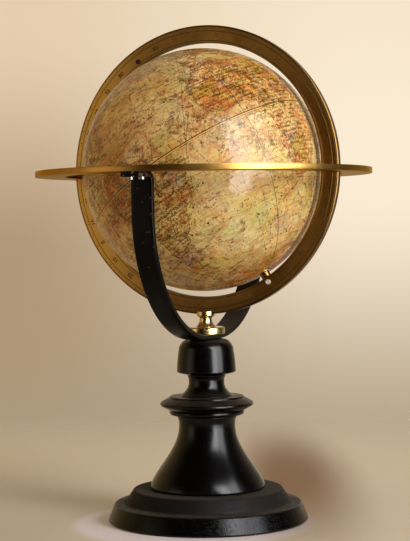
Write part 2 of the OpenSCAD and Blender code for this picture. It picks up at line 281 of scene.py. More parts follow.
def ebonisedWood(name, look):
    shade = Shading(name)
    place = shade.coordinates()
    rings = turnedCoordinates(shade, 2)
    up = shade.facing().parts()[2]
    toolMarks = rings.noise(look["ringScale"], 2)
    blotches = place.noise(45, 4)
    scuffs = place.scaled((1, 1, 0.25)).noise(900, 3, 0.6)
    pores = place.scaled((1, 1, 0.08)).noise(2600, 2)
    dust = up.between(0.55, 0.97) * (place.noise(150, 6, 0.75).between(0.32, 0.66) * 0.65 + 0.35)  # lies on ledges
    worn = place.noise(210, 5, 0.7).between(0.66, 0.8)
    colour = shade.mix(blotches, look["black"], look["brownBlack"])
    colour = shade.mix(worn * 0.3, colour, look["worn"])
    colour = shade.mix(dust * look["dustAmount"], colour, look["dust"])
    rough = (blotches * 0.10 + look["roughness"] + dust * 0.34 + scuffs.between(0.5, 0.8) * 0.12).clamped()
    height = toolMarks * 0.6 + pores * 0.4
    speckle = place.noise(look["speckleScale"], 3, 0.7)
    rough = (rough + speckle.between(0.44, 0.58, look["rubs"], -0.2 * look["rubs"])).clamped()
    if "dullAbove" in look:  # the polish is gone above this height, in metres
        dull = place.parts()[2].between(look["dullAbove"], look["dullAbove"] + 0.0008)
        rough = (dull * 0.42 + rough).clamped()
        colour = shade.mix(dull * 0.02, colour, look["dust"])
    normal = height.bump(look["bump"], 0.00012, speckle.bump(look["speckle"], 0.0008))
    return shade.surface(colour=colour, roughness=rough, normal=normal, specular=look["specular"])


def brassFinish(name, look, axis=2, centre=(0, 0, 0)):
    shade = Shading(name)
    place = shade.coordinates()
    rings = turnedCoordinates(shade, axis, centre)
    fineRings = rings.noise(look["ringScale"], 2)
    clouds = place.noise(look["cloudScale"], 5, 0.6)
    spots = place.noise(look["spotScale"], 4, 0.7).between(0.58, 0.72)
    smears = place.scaled((1, 1, 0.4)).noise(60, 4, 0.6, distortion=1.5)
    colour = shade.mix(clouds.between(0.3, 0.7), look["gold"], look["brown"])
    colour = shade.mix(spots * look["spotAmount"], colour, look["dark"])
    colour = shade.mix(fineRings * 0.22, colour, look["dark"])
    if "paintedSheenSide" in look:  # one side painted brighter gold as a painted reflection, left and right ends in metres
        side = place.parts()[0].between(*look["paintedSheenSide"], 0.75, 0.0)
        colour = shade.mix(side, colour, look["paintedSheenGold"])
    # dark circles at the given radii: dirt in the engraved grooves, and painted shade where a radius lies on a bore's
    # edge
    for groove in look.get("grooves", ()):
        gap = abs(rings.parts()[0] - groove * mm)
        colour = shade.mix(gap.between(0.00012, 0.0002, 0.9, 0.0), colour, look["dark"])
    if "shadedBelow" in look:  # painted shade: darker towards the bottom, from one height to another in metres
        low = place.parts()[2].between(*look["shadedBelow"], 0.5, 0.0)
        colour = shade.mix(low, colour, look["dark"])
    if "tarnishFrom" in look:
        rim = rings.parts()[0].between(look["tarnishFrom"], look["tarnishFrom"] + 0.0001)
        colour = shade.mix(rim * 0.6, colour, look["dark"])
    rough = (smears * look["smear"] + look["roughness"] + spots * 0.15).clamped()
    normal = (fineRings + rings.noise(look["ringScale"] * 2.3, 2)).bump(look["bump"], 0.00004)
    return shade.surface(colour=colour, metallic=1.0, roughness=rough, normal=normal, edgeTint=look["edgeTint"])


def plainMetal(name, colour, dark, roughness, scale=900):
    shade = Shading(name)
    place = shade.coordinates()
    grime = place.noise(scale * 0.4, 4, 0.65).between(0.45, 0.75)
    grain = place.scaled((1, 1, 6)).noise(scale * 3, 2)
    mixed = shade.mix(grime * 0.6, colour, dark)
    rough = grime * 0.25 + roughness
    return shade.surface(colour=mixed, metallic=1.0, roughness=rough, normal=grain.bump(0.15, 0.00005))


def fibrous(name, pale, dark, scale, stretch, roughness=0.8, bump=0.3):
    shade = Shading(name)
    place = shade.coordinates().scaled(stretch)
    fibres = place.noise(scale, 5, 0.6)
    patches = place.noise(scale * 0.1, 3)
    colour = shade.mix(fibres.between(0.3, 0.75), pale, dark)
    colour = shade.mix(patches * 0.25, colour, dark)
    return shade.surface(colour=colour, roughness=roughness, normal=fibres.bump(bump, 0.0002))


def showNodes(material, *names):
    for name in names:
        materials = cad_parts[name].data.materials
        materials.clear()
        materials.append(material)


steel = plainMetal("turned steel", linear(168, 165, 158), linear(70, 62, 52), 0.32)
iron = plainMetal("forged iron", linear(96, 92, 88), linear(52, 38, 28), 0.5, 500)
brightBrass = {"gold": linear(220, 202, 146), "brown": linear(186, 164, 106), "dark": linear(84, 62, 36),
               "cloudScale": 160, "spotScale": 700, "spotAmount": 0.35, "ringScale": 5200,
               "roughness": 0.2, "smear": 0.14, "bump": 0.12, "edgeTint": (1, 1, 1, 1)}
fittingBrass = brassFinish("polished brass", brightBrass)
print("materials ready")


# Turned stand

standLook = {"segments": 160, "edge": 0.35, "bore": 2.3}
woodLook = {"black": linear(2, 2, 2), "brownBlack": linear(6, 5, 5), "worn": linear(40, 32, 26),
            "dust": linear(96, 88, 76), "dustAmount": 0.15, "roughness": 0.15, "ringScale": 1500, "bump": 0.12,
            "speckle": 0.045, "rubs": 0.0, "speckleScale": 1100, "specular": 0.2}
wood = ebonisedWood("ebonised wood", woodLook)
scuffedWood = ebonisedWood("scuffed ebonised wood", {
    **woodLook, "speckle": 0.13, "speckleScale": 740, "rubs": 0.15, "dustAmount": 0.24, "roughness": 0.08, "specular": 0.13,
    "dullAbove": 0.0112})


def buildStand():
    bore = standLook["bore"]
    base = [(11, 0), (61.8, 0), (63, 1.2), (60.1, 8.6)] + arc(57.6, 9.5, 2, 15, 84, 14) + [
        (53.2, 11.6), (51.6, 12.1), (50.9, 14)] + arc(45.9, 18.7, 1.6, 25, 90) + [
        (9, 20.3), (9, 11.3), (bore, 11.3), (bore, 7), (11, 7)]
    pedestal = [(bore, 11.4), (8.9, 11.4), (8.9, 20.3)] + arc(35.1, 21.4, 1.1, -90, 0, 8) + flare(
        36.2, 21.9, 17.7, 60.06, 1.4) + ease(17.7, 60.56, 18.8, 66, 1.6, 16) + [
        (7, 66), (7, 56), (bore, 56)]
    collar = [(7, 66), (19, 66)] + arc(21.8, 68.4, 1.8, -60, 70, 14) + [(24.2, 69.8)] + arc(
        28.2, 73.5, 1.3, -55, 60, 14) + arc(22.1, 70.1, 7.4, 64, 84, 8) + [(23.6, 77.2)] + arc(
        22.8, 77.6, 0.8, 0, 90, 8) + [(7, 78.4)]
    domeCap = [(bore, 56.1), (6.9, 56.1), (6.9, 78.4)] + ease(16.6, 78.4, 11.2, 87.0, 0.6, 24) + ease(
        11.2, 87.5, 12.2, 91.8, 1.8, 14) + [(18.2, 93.4)] + bow(18.6, 94.0, 17.25, 108.05, 1.8) + arc(
        10.4, 107.2, 7, 12, 90, 26) + [(bore, 114.2)]
    for name, outline in {"base": base, "pedestal": pedestal, "collar": collar, "dome_cap": domeCap}.items():
        piece = turnedMesh("turned_" + name, softened(outline, standLook["edge"]),
                           scuffedWood if name == "base" else wood, standLook["segments"])
        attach(piece, "stand")
        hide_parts(name)
    showNodes(iron, "tie_rod", "tie_washer", "tie_nut")


buildStand()
print("stand done")


# Strap

strapLook = {"width": 14.0, "thickness": 3.0, "edge": 0.55, "armSpan": 174.0, "bendRadius": 80.0,
             "footReach": 12.5, "bottom": 114.2, "footTop": 216.9, "unevenness": 0.06,
             "black": linear(3, 3, 4), "brown": linear(8, 7, 6), "bare": linear(160, 152, 142),
             "dust": linear(80, 70, 58)}


def japannedStrap():
    shade = Shading("japanned strap")
    place = shade.coordinates()
    clouds = place.noise(70, 4, 0.6)
    pitted = place.noise(900, 4, 0.6)
    brushed = place.scaled((0.15, 1, 1)).noise(700, 3)
    height = place.parts()[2]
    nearFoot = height.between(0.2105, 0.2145)
    chipNoise = place.noise(420, 4, 0.75)
    edge = shade.attribute("edgeWear")
    chips = (nearFoot * 0.10 + chipNoise).between(0.665, 0.69)
    edgeChips = edge * chipNoise.between(0.655, 0.69)
    bare = (chips * height.between(0.13, 0.21, 0.25, 1.0)).atLeast(edgeChips)
    colour = shade.mix(clouds.between(0.35, 0.75), strapLook["black"], strapLook["brown"])
    up = shade.facing().parts()[2]
    dust = up.between(0.4, 0.95) * clouds.between(0.2, 0.8)
    colour = shade.mix(dust * 0.4, colour, strapLook["dust"])
    colour = shade.mix(bare, colour, strapLook["bare"])
    rough = (clouds * 0.16 + 0.27 + dust * 0.3).clamped()
    normal = (pitted * 0.5 - bare * 0.6).bump(0.35, 0.00012, brushed.bump(0.08, 0.0001))
    return shade.surface(colour=colour, metallic=bare * 0.9, roughness=rough, normal=normal, specular=0.12)


def roundedBar(halfU, halfW, radius, flatSteps=6):  # section of a bar, and which of its points are on a corner
    section, corners = [], []
    for k, (u, w) in enumerate(((1, 1), (-1, 1), (-1, -1), (1, -1))):
        first = len(section)
        section += arc(u * (halfU - radius), w * (halfW - radius), radius, 90 * k, 90 * k + 90, 4)
        corners += range(first, len(section))
        if k % 2:  # a few points along each wide face
            flat = halfW - radius
            section += [(u * halfU, w * flat * (1 - 2 * j / flatSteps)) for j in range(1, flatSteps)]
    return section, set(corners)


def buildStrap():
    look = strapLook
    half, thick = look["armSpan"] / 2, look["thickness"]
    bendY = half - look["bendRadius"]
    bendZ = look["bottom"] + look["bendRadius"]
    footZ, corner = look["footTop"] - thick / 2, 3.0
    middle = look["bendRadius"] - thick / 2
    side = [(bendY * i / 4, look["bottom"] + thick / 2) for i in range(4)]
    side += arc(bendY, bendZ, middle, -90, 0, 56)
    side += [(half - thick / 2, bendZ + (footZ - corner - bendZ) * i / 8) for i in range(1, 8)]
    side += arc(half + corner - thick / 2, footZ - corner, corner, 180, 90, 10)
    side += [(half + look["footReach"] * i / 5, footZ) for i in range(2, 6)]
    line = [(-y, z) for y, z in reversed(side[1:])] + side
    path = [Vector((0, y, z)) for y, z in line]
    normals = []
    for i in range(len(path)):
        along = (path[min(i + 1, len(path) - 1)] - path[max(i - 1, 0)]).normalized()
        normals.append(Vector((0, -along.z, along.y)))
    section, corners = roundedBar(thick / 2, look["width"] / 2, look["edge"])
    strap = sweptMesh("japanned_strap", path, normals, section, japannedStrap())
    wear = strap.data.attributes.new("edgeWear", "FLOAT", "POINT")
    for i, vertex in enumerate(strap.data.vertices):  # hammered and filed by hand, so never quite even
        wear.data[i].value = 1.0 if i % len(section) in corners else 0.0
        wobble = abs(noise.noise(vertex.co * 60)) * look["unevenness"] * mm
        vertex.co.x -= math.copysign(wobble, vertex.co.x)
    smoothByAngle(strap, 50)
    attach(strap, "stand")
    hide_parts("yoke_strap")
    showNodes(steel, "yoke_screws")


buildStrap()
print("strap done")


# Fork and clamp washer

forkLook = {"slotWidth": 5.0, "slotRadius": 90.6, "segments": 96, "cutterSegments": 512}


def buildFork():
    washer = [(2.3, 117.2), (6.65, 117.2), (12, 117.55), (12, 121.2), (11.4, 121.8), (2.3, 121.8)]
    clamp = turnedMesh("clamp_disc", softened(washer, 0.3), fittingBrass, forkLook["segments"])
    outline = [(0, 126.0), (2.05, 126.0), (2.05, 121.8)] + ease(6.25, 121.8, 3.85, 126.76, 0.6, 26) + ease(
        3.85, 127.06, 5.7, 129.2, 1.5, 14) + arc(4.5, 131.1, 1.2, 0, 90, 12) + [(0, 132.3)]
    fork = turnedMesh("slotted_fork", softened(outline, 0.15), fittingBrass, forkLook["segments"])
    half, reach = forkLook["slotWidth"] / 2, forkLook["slotRadius"]
    slot = turnedMesh("slot cutter", [(60, -half), (reach, -half), (reach, half), (60, half)], None,
                      forkLook["cutterSegments"], faceFront)
    cutAway(fork, slot)
    smoothByAngle(fork, 40)
    for piece, node in ((clamp, "clamp_washer"), (fork, "ring_fork")):
        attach(piece, "stand")
        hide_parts(node)


buildFork()
print("fork done")


# Brass rings

horizonLook = {"bore": 86.5, "rim": 105.5, "bottom": 216.9, "top": 220.4, "notchReach": 91.2, "notchWidth": 5.0,
               "grooves": (88.2, 92.4, 98.6, 104.6), "scale": (98.6, 104.6), "figureSize": 3.9, "figureRadius": 95.4}
meridianLook = {"bore": 79.5, "rim": 90.5, "halfThick": 2.25, "grooves": (80.9, 86.9, 89.5),
                "scale": (86.9, 89.5), "figureSize": 4.0, "figureRadius": 83.9}
agedBrass = {"gold": linear(184, 142, 74), "brown": linear(150, 112, 56), "dark": linear(54, 38, 20),
             "cloudScale": 26, "spotScale": 380, "spotAmount": 0.6, "ringScale": 3400,
             "roughness": 0.26, "smear": 0.12, "bump": 0.05, "edgeTint": (1, 1, 1, 1)}
horizonBrass = {**agedBrass, "gold": linear(184, 144, 74), "spotAmount": 0.4, "edgeTint": (1.0, 0.8, 0.42, 1)}
# the left side of the meridian ring is painted brighter gold as a painted reflection
meridianBrass = {**agedBrass, "tarnishFrom": 0.0897, "paintedSheenSide": (-0.075, -0.03), "paintedSheenGold": linear(222, 174, 84),
                 # 79.6 is the bore's edge beside the globe, darkened as painted shade
                 "shadedBelow": (0.131, 0.152), "bump": 0.03, "grooves": (*meridianLook["grooves"], 79.6)}
ringSegments = 288
figureShapes = {}


def grooved(height, positions, depth=0.09, width=0.22):  # engraved circles on a flat, from the rim inwards
    points = []
    for position in sorted(positions, reverse=True):
        points += [(position + width / 2, height), (position, height - depth), (position - width / 2, height)]
    return points


def figureShape(text):  # the outline of a plain number as a thin solid, one unit high
    if text not in figureShapes:
        curve = bpy.data.curves.new("figure", "FONT")
        curve.body, curve.align_x, curve.align_y = text, "CENTER", "CENTER"
        curve.resolution_u, curve.extrude, curve.offset = 2, 0.01, 0.022
        thing = bpy.data.objects.new("figure", curve)
        bpy.context.scene.collection.objects.link(thing)
        mesh = thing.evaluated_get(bpy.context.evaluated_depsgraph_get()).to_mesh()
        figureShapes[text] = ([v.co.copy() for v in mesh.vertices], [tuple(p.vertices) for p in mesh.polygons])
        bpy.data.objects.remove(thing)
        bpy.data.curves.remove(curve)
    return figureShapes[text]


def addSolid(vertices, faces, shape, place):
    first = len(vertices)
    vertices.extend(place @ v for v in shape[0])
    faces.extend(tuple(first + i for i in face) for face in shape[1])


def engravedScale(name, look, place, faceHeight, numbers, filling):
    # degree strokes and plain numbers, let into the face at faceHeight of place
    vertices, faces = [], []
    inner, outer = look["scale"]
    sunk, proud = -0.08, 0.012
    for degree in range(360):
        reach = 1.0 if degree % 10 == 0 else 0.72 if degree % 5 == 0 else 0.45
        width = 0.13 if degree % 5 == 0 else 0.09
        stroke = slab((inner, -width, faceHeight + sunk), (inner + (outer - inner) * reach, width, faceHeight + proud))
        addSolid(vertices, faces, stroke, place @ Matrix.Scale(mm, 4) @ turnZ(degree))
    for degree, text in numbers.items():
        turn = turnZ(degree) @ Matrix.Translation((look["figureRadius"], 0, faceHeight))
        stand = turn @ turnZ(-90) @ Matrix.Diagonal((look["figureSize"], look["figureSize"], 1.2, 1))
        addSolid(vertices, faces, figureShape(text), place @ Matrix.Scale(mm, 4) @ stand)
    return meshObject(name, vertices, faces, filling, smooth=False)


def fillingMaterial(name, fading):
    shade = Shading(name)
    place = shade.coordinates()
    worn = place.noise(1500, 4, 0.7)
    lost = place.parts()[0].between(-0.045, 0.01) * fading  # rubbed out towards +X
    colour = shade.mix(worn.between(0.48, 0.72), linear(20, 13, 8), linear(84, 56, 26))
    colour = shade.mix(lost, colour, linear(128, 98, 52))
    return shade.surface(colour=colour, metallic=lost, roughness=worn * 0.3 + 0.3, specular=0.4)


def screwFinish():  # the southern screw is painted near white as a painted highlight, the northern one is painted dark
    shade = Shading("lock screws")
    place = shade.coordinates()
    north = place.parts()[2].between(0.21, 0.23)
    grime = place.noise(1500, 3, 0.7)
    colour = shade.mix(grime.between(0.5, 0.8), linear(236, 232, 222), linear(120, 108, 90))
    colour = shade.mix(north, colour, linear(40, 28, 20))
    return shade.surface(colour=colour, metallic=0.3, roughness=0.45)


def ringOutline(look, bottom, top, rimCorner=()):
    bore, rim = look["bore"], look["rim"]
    outline = [(bore, top - 0.25), (bore, bottom + 0.25), (bore + 0.25, bottom), (rim - 0.3, bottom)]
    outline += [(rim - c, bottom + c) for c in rimCorner] + [(rim, bottom + 0.3), (rim, top - 0.3)]
    outline += [(rim - c, top - c) for c in rimCorner] + [(rim - 0.3, top)]
    return outline + grooved(top, look["grooves"]) + [(bore + 0.25, top)]


def buildRings():
    look = horizonLook
    top, bottom = look["top"] - centreHeight, look["bottom"] - centreHeight
    brass = brassFinish("aged brass, horizon ring", horizonBrass, 2, tuple(globeCentre))
    ring = turnedMesh("horizon_band", ringOutline(look, bottom, top, (0.08,)), brass, ringSegments, faceUp)
    reach, side = look["notchReach"], look["notchWidth"] / 2
    corners, faces = slab((-reach, -side, look["bottom"] - 1), (reach, side, look["top"] + 1))
    cutAway(ring, meshObject("notch cutter", [c * mm for c in corners], faces, None, smooth=False))
    smoothByAngle(ring, 30)
    numbers = {d: str(d) for d in range(0, 360, 10)}
    figures = engravedScale("horizon_figures", look, faceUp, top, numbers, fillingMaterial("engraving wax", 0.0))
    for piece in (ring, figures):
        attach(piece, "stand")
    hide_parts("horizon_ring")

    look = meridianLook
    face = look["halfThick"]
    brass = brassFinish("aged brass, meridian ring", meridianBrass, 1, tuple(globeCentre))
    ring = turnedMesh("meridian_band", ringOutline(look, -face, face), brass, ringSegments, faceFront)
    smoothByAngle(ring, 30)
    start = poleLean % 10  # nought stands on the equator, ninety at the poles, and the lock screws take two places
    numbers = {d: str(abs((d + start - poleLean + 90) % 180 - 90)) for d in range(0, 360, 10) if d not in (120, 300)}
    figures = engravedScale("meridian_figures", look, faceFront @ turnZ(start), face, numbers,
                            fillingMaterial("worn engraving wax", 0.85))
    for piece in (ring, figures):
        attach(piece, "meridian")
    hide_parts("meridian_ring")
    showNodes(steel, "north_pin", "south_pin")
    showNodes(screwFinish(), "pin_lock_screws")
    dullBrass = {**agedBrass, "gold": agedBrass["brown"], "brown": linear(96, 74, 44)}
    showNodes(brassFinish("dull brass collars", dullBrass), "north_spacer", "south_spacer")
    showNodes(fittingBrass, "north_bush", "south_bush")


buildRings()
print("rings done")


# Map outlines, as longitude and latitude in degrees

def paths(text, size=2):  # a table's numbers as points, one list for each part between slashes
    rows = [[float(n) for n in part.split()] for part in text.split("/")]
    return [[tuple(row[i:i + size]) for i in range(0, len(row), size)] for row in rows]


coastOutlines = paths("""
-77.5 8.5 -75.5 10.5 -74 11.3 -71.5 12.4 -71.5 10.8 -70 12 -68 10.6 -64.5 10.2 -62 10.7 -61 9 -59.5 8.2 -57.5 6.2 -55 6
-52 5 -51 4 -50 1.8 -50 0 -48.5 -0.8 -47.5 -0.7 -45 -1.5 -44.3 -2.7 -42 -2.8 -40 -2.8 -38.5 -3.8 -37 -4.8 -35.3 -5.2
-34.9 -7.5 -35 -9 -37 -11 -38.5 -13 -39 -16 -39.3 -18 -40 -20.5 -41 -22 -42 -23 -44.5 -23.2 -46.3 -24 -48.5 -25.8 -48.6
-28 -50 -30 -52 -32.5 -53.5 -34 -55 -34.9 -57 -34.5 -58.4 -34 -57.2 -35.8 -57 -37 -58 -38.3 -62 -39 -62.2 -40.8 -65 -41
-63.8 -42.5 -65.3 -44.5 -67.5 -46 -65.8 -47.5 -67.5 -49.5 -69 -51 -68.4 -52.4 -70.5 -53.5 -71.5 -53.8 -74 -52.5 -75.5
-50 -75.5 -46.8 -73.5 -44 -73 -41.7 -73.7 -39 -73.3 -37 -72.3 -35 -71.5 -32.5 -71.5 -29 -70.6 -26 -70.2 -22 -70.3 -18.3
-72.5 -17 -76 -14.5 -77.2 -12 -79 -8 -81 -6 -81.3 -4.5 -80 -3 -80.9 -1 -80 0.8 -78.5 2 -77.2 4 -77.5 6.5 -77.9 7.5 /
-68.5 -52.8 -65.2 -54.7 -68 -55.6 -71.5 -54.3 -70 -53.2 / -61 -51.5 -58 -51.5 -59 -52.3 -60.5 -52 / -6 35.8 -2 35.1 3
36.9 10 37.3 11 35 10.5 33.8 15 32.3 19 30.3 20 32.5 23 32.8 29 31 32 31.3 32.5 30 34 27 35.5 24 37.2 21 38.5 18 39.7
15.3 43 12.5 43.2 11.5 45 10.5 51.2 12 50.8 9.5 48.5 5 46 2.5 42.5 -1 40.5 -3 39 -6.5 40.5 -10.5 40.6 -15 36.5 -18.5 35
-20.5 35.5 -24 32.8 -26 32.5 -28.5 30 -31.5 27 -33.8 22 -34.2 18.4 -34.2 18 -31.5 16.5 -28.5 14.8 -25 14.4 -22 12 -18
13.5 -12.5 13.2 -8.5 11.8 -4.5 9 -1 9.6 3.5 8.5 4.7 6 4.3 3.5 6.3 1 6 -2.5 5 -7.5 4.4 -11 6.8 -13.3 9 -15 11.5 -16.8
13.5 -17.4 14.7 -16.3 18 -17 21 -15.5 24.5 -13 27.8 -10 29.5 -9.7 31.5 -7.5 33.8 / -5.6 36 -6.5 37 -9 37.2 -9.4 39 -8.8
41.5 -9.2 43.2 -4 43.4 -1.5 43.6 -1.2 46 -4.5 48.2 -1.5 48.8 1.5 50 3.5 51.5 5 53.2 8.5 53.8 8.2 56 10.5 57.7 10.3 55.5
11 54.2 14 54 18.5 54.7 21 55.5 21.5 57.4 24 57.2 23.5 59.2 29.5 59.9 25 60.3 22.5 60 21.3 62.5 25 65 22 65.8 17.5 62
17 60.5 18.5 59.3 16.5 57 14.3 55.5 12.8 55.6 11.3 58.8 8 58.1 5.5 59 5 62 10 64 14 67.5 18.5 69.6 25.5 71 31 70.2 40
67.8 41 66.6 34 66.6 37 64.3 40 65 44 66.2 44 68.4 54 68.5 60.5 69 68 68.5 67 71 72 72.8 73 68 76 72 81 73.5 87 75 98
76.2 104 77.6 112 76.3 113 73.7 128 73 130 71 139 72.5 150 71.3 160 69.7 170 69.9 179.5 68.8 189.5 66.2 182 65 179 62.5
171 60 163.5 59.8 162 56 156.8 51 155.8 56.5 163 61.8 156 61.5 152 59.2 143 59.3 135.5 54.7 141 53 140.3 48.5 135 43.5
131 42.7 129.5 40.8 127.5 39.7 129.3 37 129 35.2 126.5 34.4 126.7 37 125 38.5 124.3 40 121.5 39 118 39 119 37.3 122.3
37.2 119.3 35 121.8 31.8 121.8 28.8 119.5 25.5 117 23.4 113.5 22.2 110.5 21 108 21.6 105.8 19 108.8 15.3 109.3 11.8
106.8 10.4 105 8.8 104.8 10.4 102.5 12 100.8 13.4 99.5 10 101 6.8 103.4 4.5 104 1.4 101.3 2.8 98.4 8 98.5 12 97.6 16.3
94.5 16 94 19 91.8 22.5 87 21.3 85 19.6 82.3 16.7 80.2 15 80 11 77.5 8.1 75 12 73 17 72.7 20.8 70.5 20.8 69.2 22.3 66.8
24.8 61.5 25.2 57 26.5 54 26.6 50.8 28.9 48.5 30 48 28.5 50.2 26 51.3 25.5 54 24.2 56.3 26 56.5 24.4 59.8 22.4 57.8 19
55 17.3 52 15.7 45 12.8 43.3 12.8 42.7 16.5 39.2 21 35.5 27.5 34.9 29.4 34.3 31.5 35.7 34.5 36 36.8 31 36.6 27.3 37
26.5 39.5 29 41 35 42 41.5 41.5 37 45 38.5 47 34.5 46 33.5 44.5 30.5 46.3 28 43.8 28.7 41.2 26 40.8 23.5 40.2 24 38
22.5 36.6 21 38.5 19.5 41.5 15.5 43.8 13.6 45.6 12.4 44.8 14 42.3 18.4 40.2 17 39 16 38 15.5 40 12.3 41.7 10.3 43.8 8.7
44.4 5 43.3 3.2 42.5 0.3 40.2 -0.5 38.3 -2.2 36.8 / 47 44.5 51 47 53 45 51 42 53.8 39 53.5 37 50 37.4 49 40.5 47.5 42.5
/ -168 65.7 -163 67 -166 68.3 -156.5 71.2 -141 69.7 -128 70.3 -115 68.5 -108 68 -96 67.5 -95 71.8 -90 68.8 -82 69.5 -86
66.5 -93.5 61.8 -94.5 58.8 -88 56.5 -82.3 55 -80 51.3 -79 54.5 -77 57.5 -78 62.4 -70 61.2 -65 59 -61.5 56.8 -56 52.2
-60 50.2 -66.5 50.2 -70 47 -65 49.2 -64.5 46.5 -61 46 -66 43.7 -70 43.6 -70.5 41.8 -74 40.5 -75.5 38 -76 35.2 -81 31.8
-80.2 27 -80.6 25.2 -82.7 28 -84.3 30 -89.5 30.2 -94 29.5 -97.3 27.5 -97.7 22.5 -95.8 18.8 -91.5 18.5 -90.3 21 -87 21.3
-88.3 17.5 -88.5 15.8 -83.4 15 -83.7 11 -80 9.2 -77.4 8.6 -79.5 8.5 -80.5 7.4 -83.5 8.6 -85.8 10.5 -87.5 13 -92 14.5
-95 16.1 -101 17.5 -105.5 20 -106 23 -109.5 26.5 -112.8 31 -114.7 31.6 -111.5 26 -109.5 23.2 -112.2 25 -115 28.5 -117.2
32.6 -120.6 34.6 -122.5 37.5 -124.3 40.3 -124.2 46 -124.6 48.4 -122.5 49 -127.5 51.5 -130.5 55 -136.5 58.3 -145 60.3
-151.5 59.3 -158 56.5 -164.5 54.7 -158 58.5 -162 59 -165.5 61.8 -161.5 64.4 / -73 78.2 -60 82 -35 83.5 -20 81.5 -19 77
-22 72 -32 68 -40 65 -43.5 60 -49 62 -53.5 67 -54 71 -58 75.5 -68 76 / -80 73.7 -70 70.8 -62 66.5 -66 62.5 -78 64.8 -73
68 -85 70 -89 73.5 / -117 73 -105 73 -102 69 -114 69 / -90 76.5 -78 76.5 -65 81.5 -75 83 -92 81.5 / -59.3 47.8 -53 46.8
-53.5 49.3 -56 51.5 / -85 22 -80 23.1 -74.2 20.2 -77.5 19.9 -80 21.7 / -74.4 18.5 -73 19.9 -69 19.3 -68.5 18.4 -71.5
17.8 / -24 65.5 -22 66.3 -16 66.4 -13.7 65 -18.5 63.4 -22.5 64 / -5.5 50.1 -3 51.4 -5 51.8 -4.5 53.3 -3 53.8 -3.2 54.9
-5 54.8 -6 56.7 -5 58.6 -3.1 58.5 -2 57.5 -3 56 -1.5 54.8 0.2 53.2 1.7 52.6 1.3 51.2 -1.5 50.7 -3.6 50.3 / -10 51.6
-6.4 52.2 -6 53.8 -5.6 54.6 -7.5 55.3 -8.5 54.4 -10 54 -9.2 53.1 / 51.5 71.5 55 73.5 66 76.9 68 76.3 58 73 57 70.7 / 11
79 20 80.3 27 80 18 76.7 14 77.5 / 49.3 -12.1 50.4 -15.8 47.5 -24.8 45 -25.5 43.4 -22.5 44.4 -17 47 -15.2 / 79.8 9.6
81.2 8.4 81.8 7 80.5 6 79.8 7.5 / 95.3 5.6 98.5 3.8 103.5 -0.8 106 -3 105.7 -5.9 102 -3.8 98.5 0 / 105.3 -6.6 108.5
-6.7 112.5 -6.8 114.5 -7.8 110 -8.1 106.5 -7.4 / 109 1.5 111.5 2.7 115 5 117 7 119.2 5.3 117.8 2 117.5 -1 116 -3.8 112
-3.3 110 -1.5 / 119.5 -5.5 119 -2.8 120 1.2 125 1.5 120.8 0.5 121 -1 123.2 -0.9 121.8 -2 122.8 -4.5 121 -2.8 120.4 -5.5
/ 131 -0.8 134.2 -0.9 135 -3.3 138 -1.7 144.5 -3.9 147.5 -6 150.7 -10.4 147 -9.3 143 -9 138 -8.3 133 -4 132 -2.8 /
120.5 18.4 122.2 18.4 121.6 15 124 12.8 120.8 14 / 122 7 125 9.8 126.4 7 125.5 5.8 123.5 7.6 / 121 25.2 121.8 24.8
120.8 22 120.1 23.3 / 130.9 34 135.5 35.6 137 37.2 139.5 38.5 140.3 41.3 142 39.5 140.8 35.6 137 34.6 135.5 33.6 132.5
34.2 / 129.8 33.2 131.8 33.5 131.4 31.4 130.2 31.3 / 140.2 42.3 141.7 45.4 145.4 43.3 143.2 42 / 142.2 54.2 143.5 50
142.8 46.3 142 48.5 / 113.8 -22 114.2 -26.5 115.8 -32 118 -35 123.7 -33.9 129 -31.6 131.5 -31.5 135.5 -34.8 137.8 -32.8
138.5 -35.5 140.5 -38 144 -38.5 147 -38.8 150 -37.3 151.5 -33 153.3 -28.5 152.8 -25 149.5 -22.3 146.3 -19 145.3 -15
142.6 -10.8 141.6 -13.5 140.9 -17.5 139.3 -17.4 135.6 -15 136.8 -12.2 132.6 -11.3 130.2 -13.2 129.2 -15 126.5 -14 122.2
-17.8 121 -19.5 116.5 -20.8 / 144.8 -40.8 148.2 -40.9 147.8 -43.2 146 -43.4 / 172.8 -34.5 175.5 -36.7 178.4 -37.8 176.9
-39.8 175.2 -41.5 173.9 -39.3 / 172.8 -40.6 174.2 -41.6 172.8 -43.8 170.7 -45.9 168.5 -46.6 166.6 -45.8 170.5 -43 /
-180 -78 -160 -78 -140 -75 -110 -73 -80 -73 -65 -66 -58 -64 -62 -72 -45 -78 -30 -77 -10 -71 20 -70 50 -66.5 70 -69 90
-66.5 110 -66 135 -66 150 -68.5 165 -71 168 -78 180 -78 180 -90 -180 -90
""")
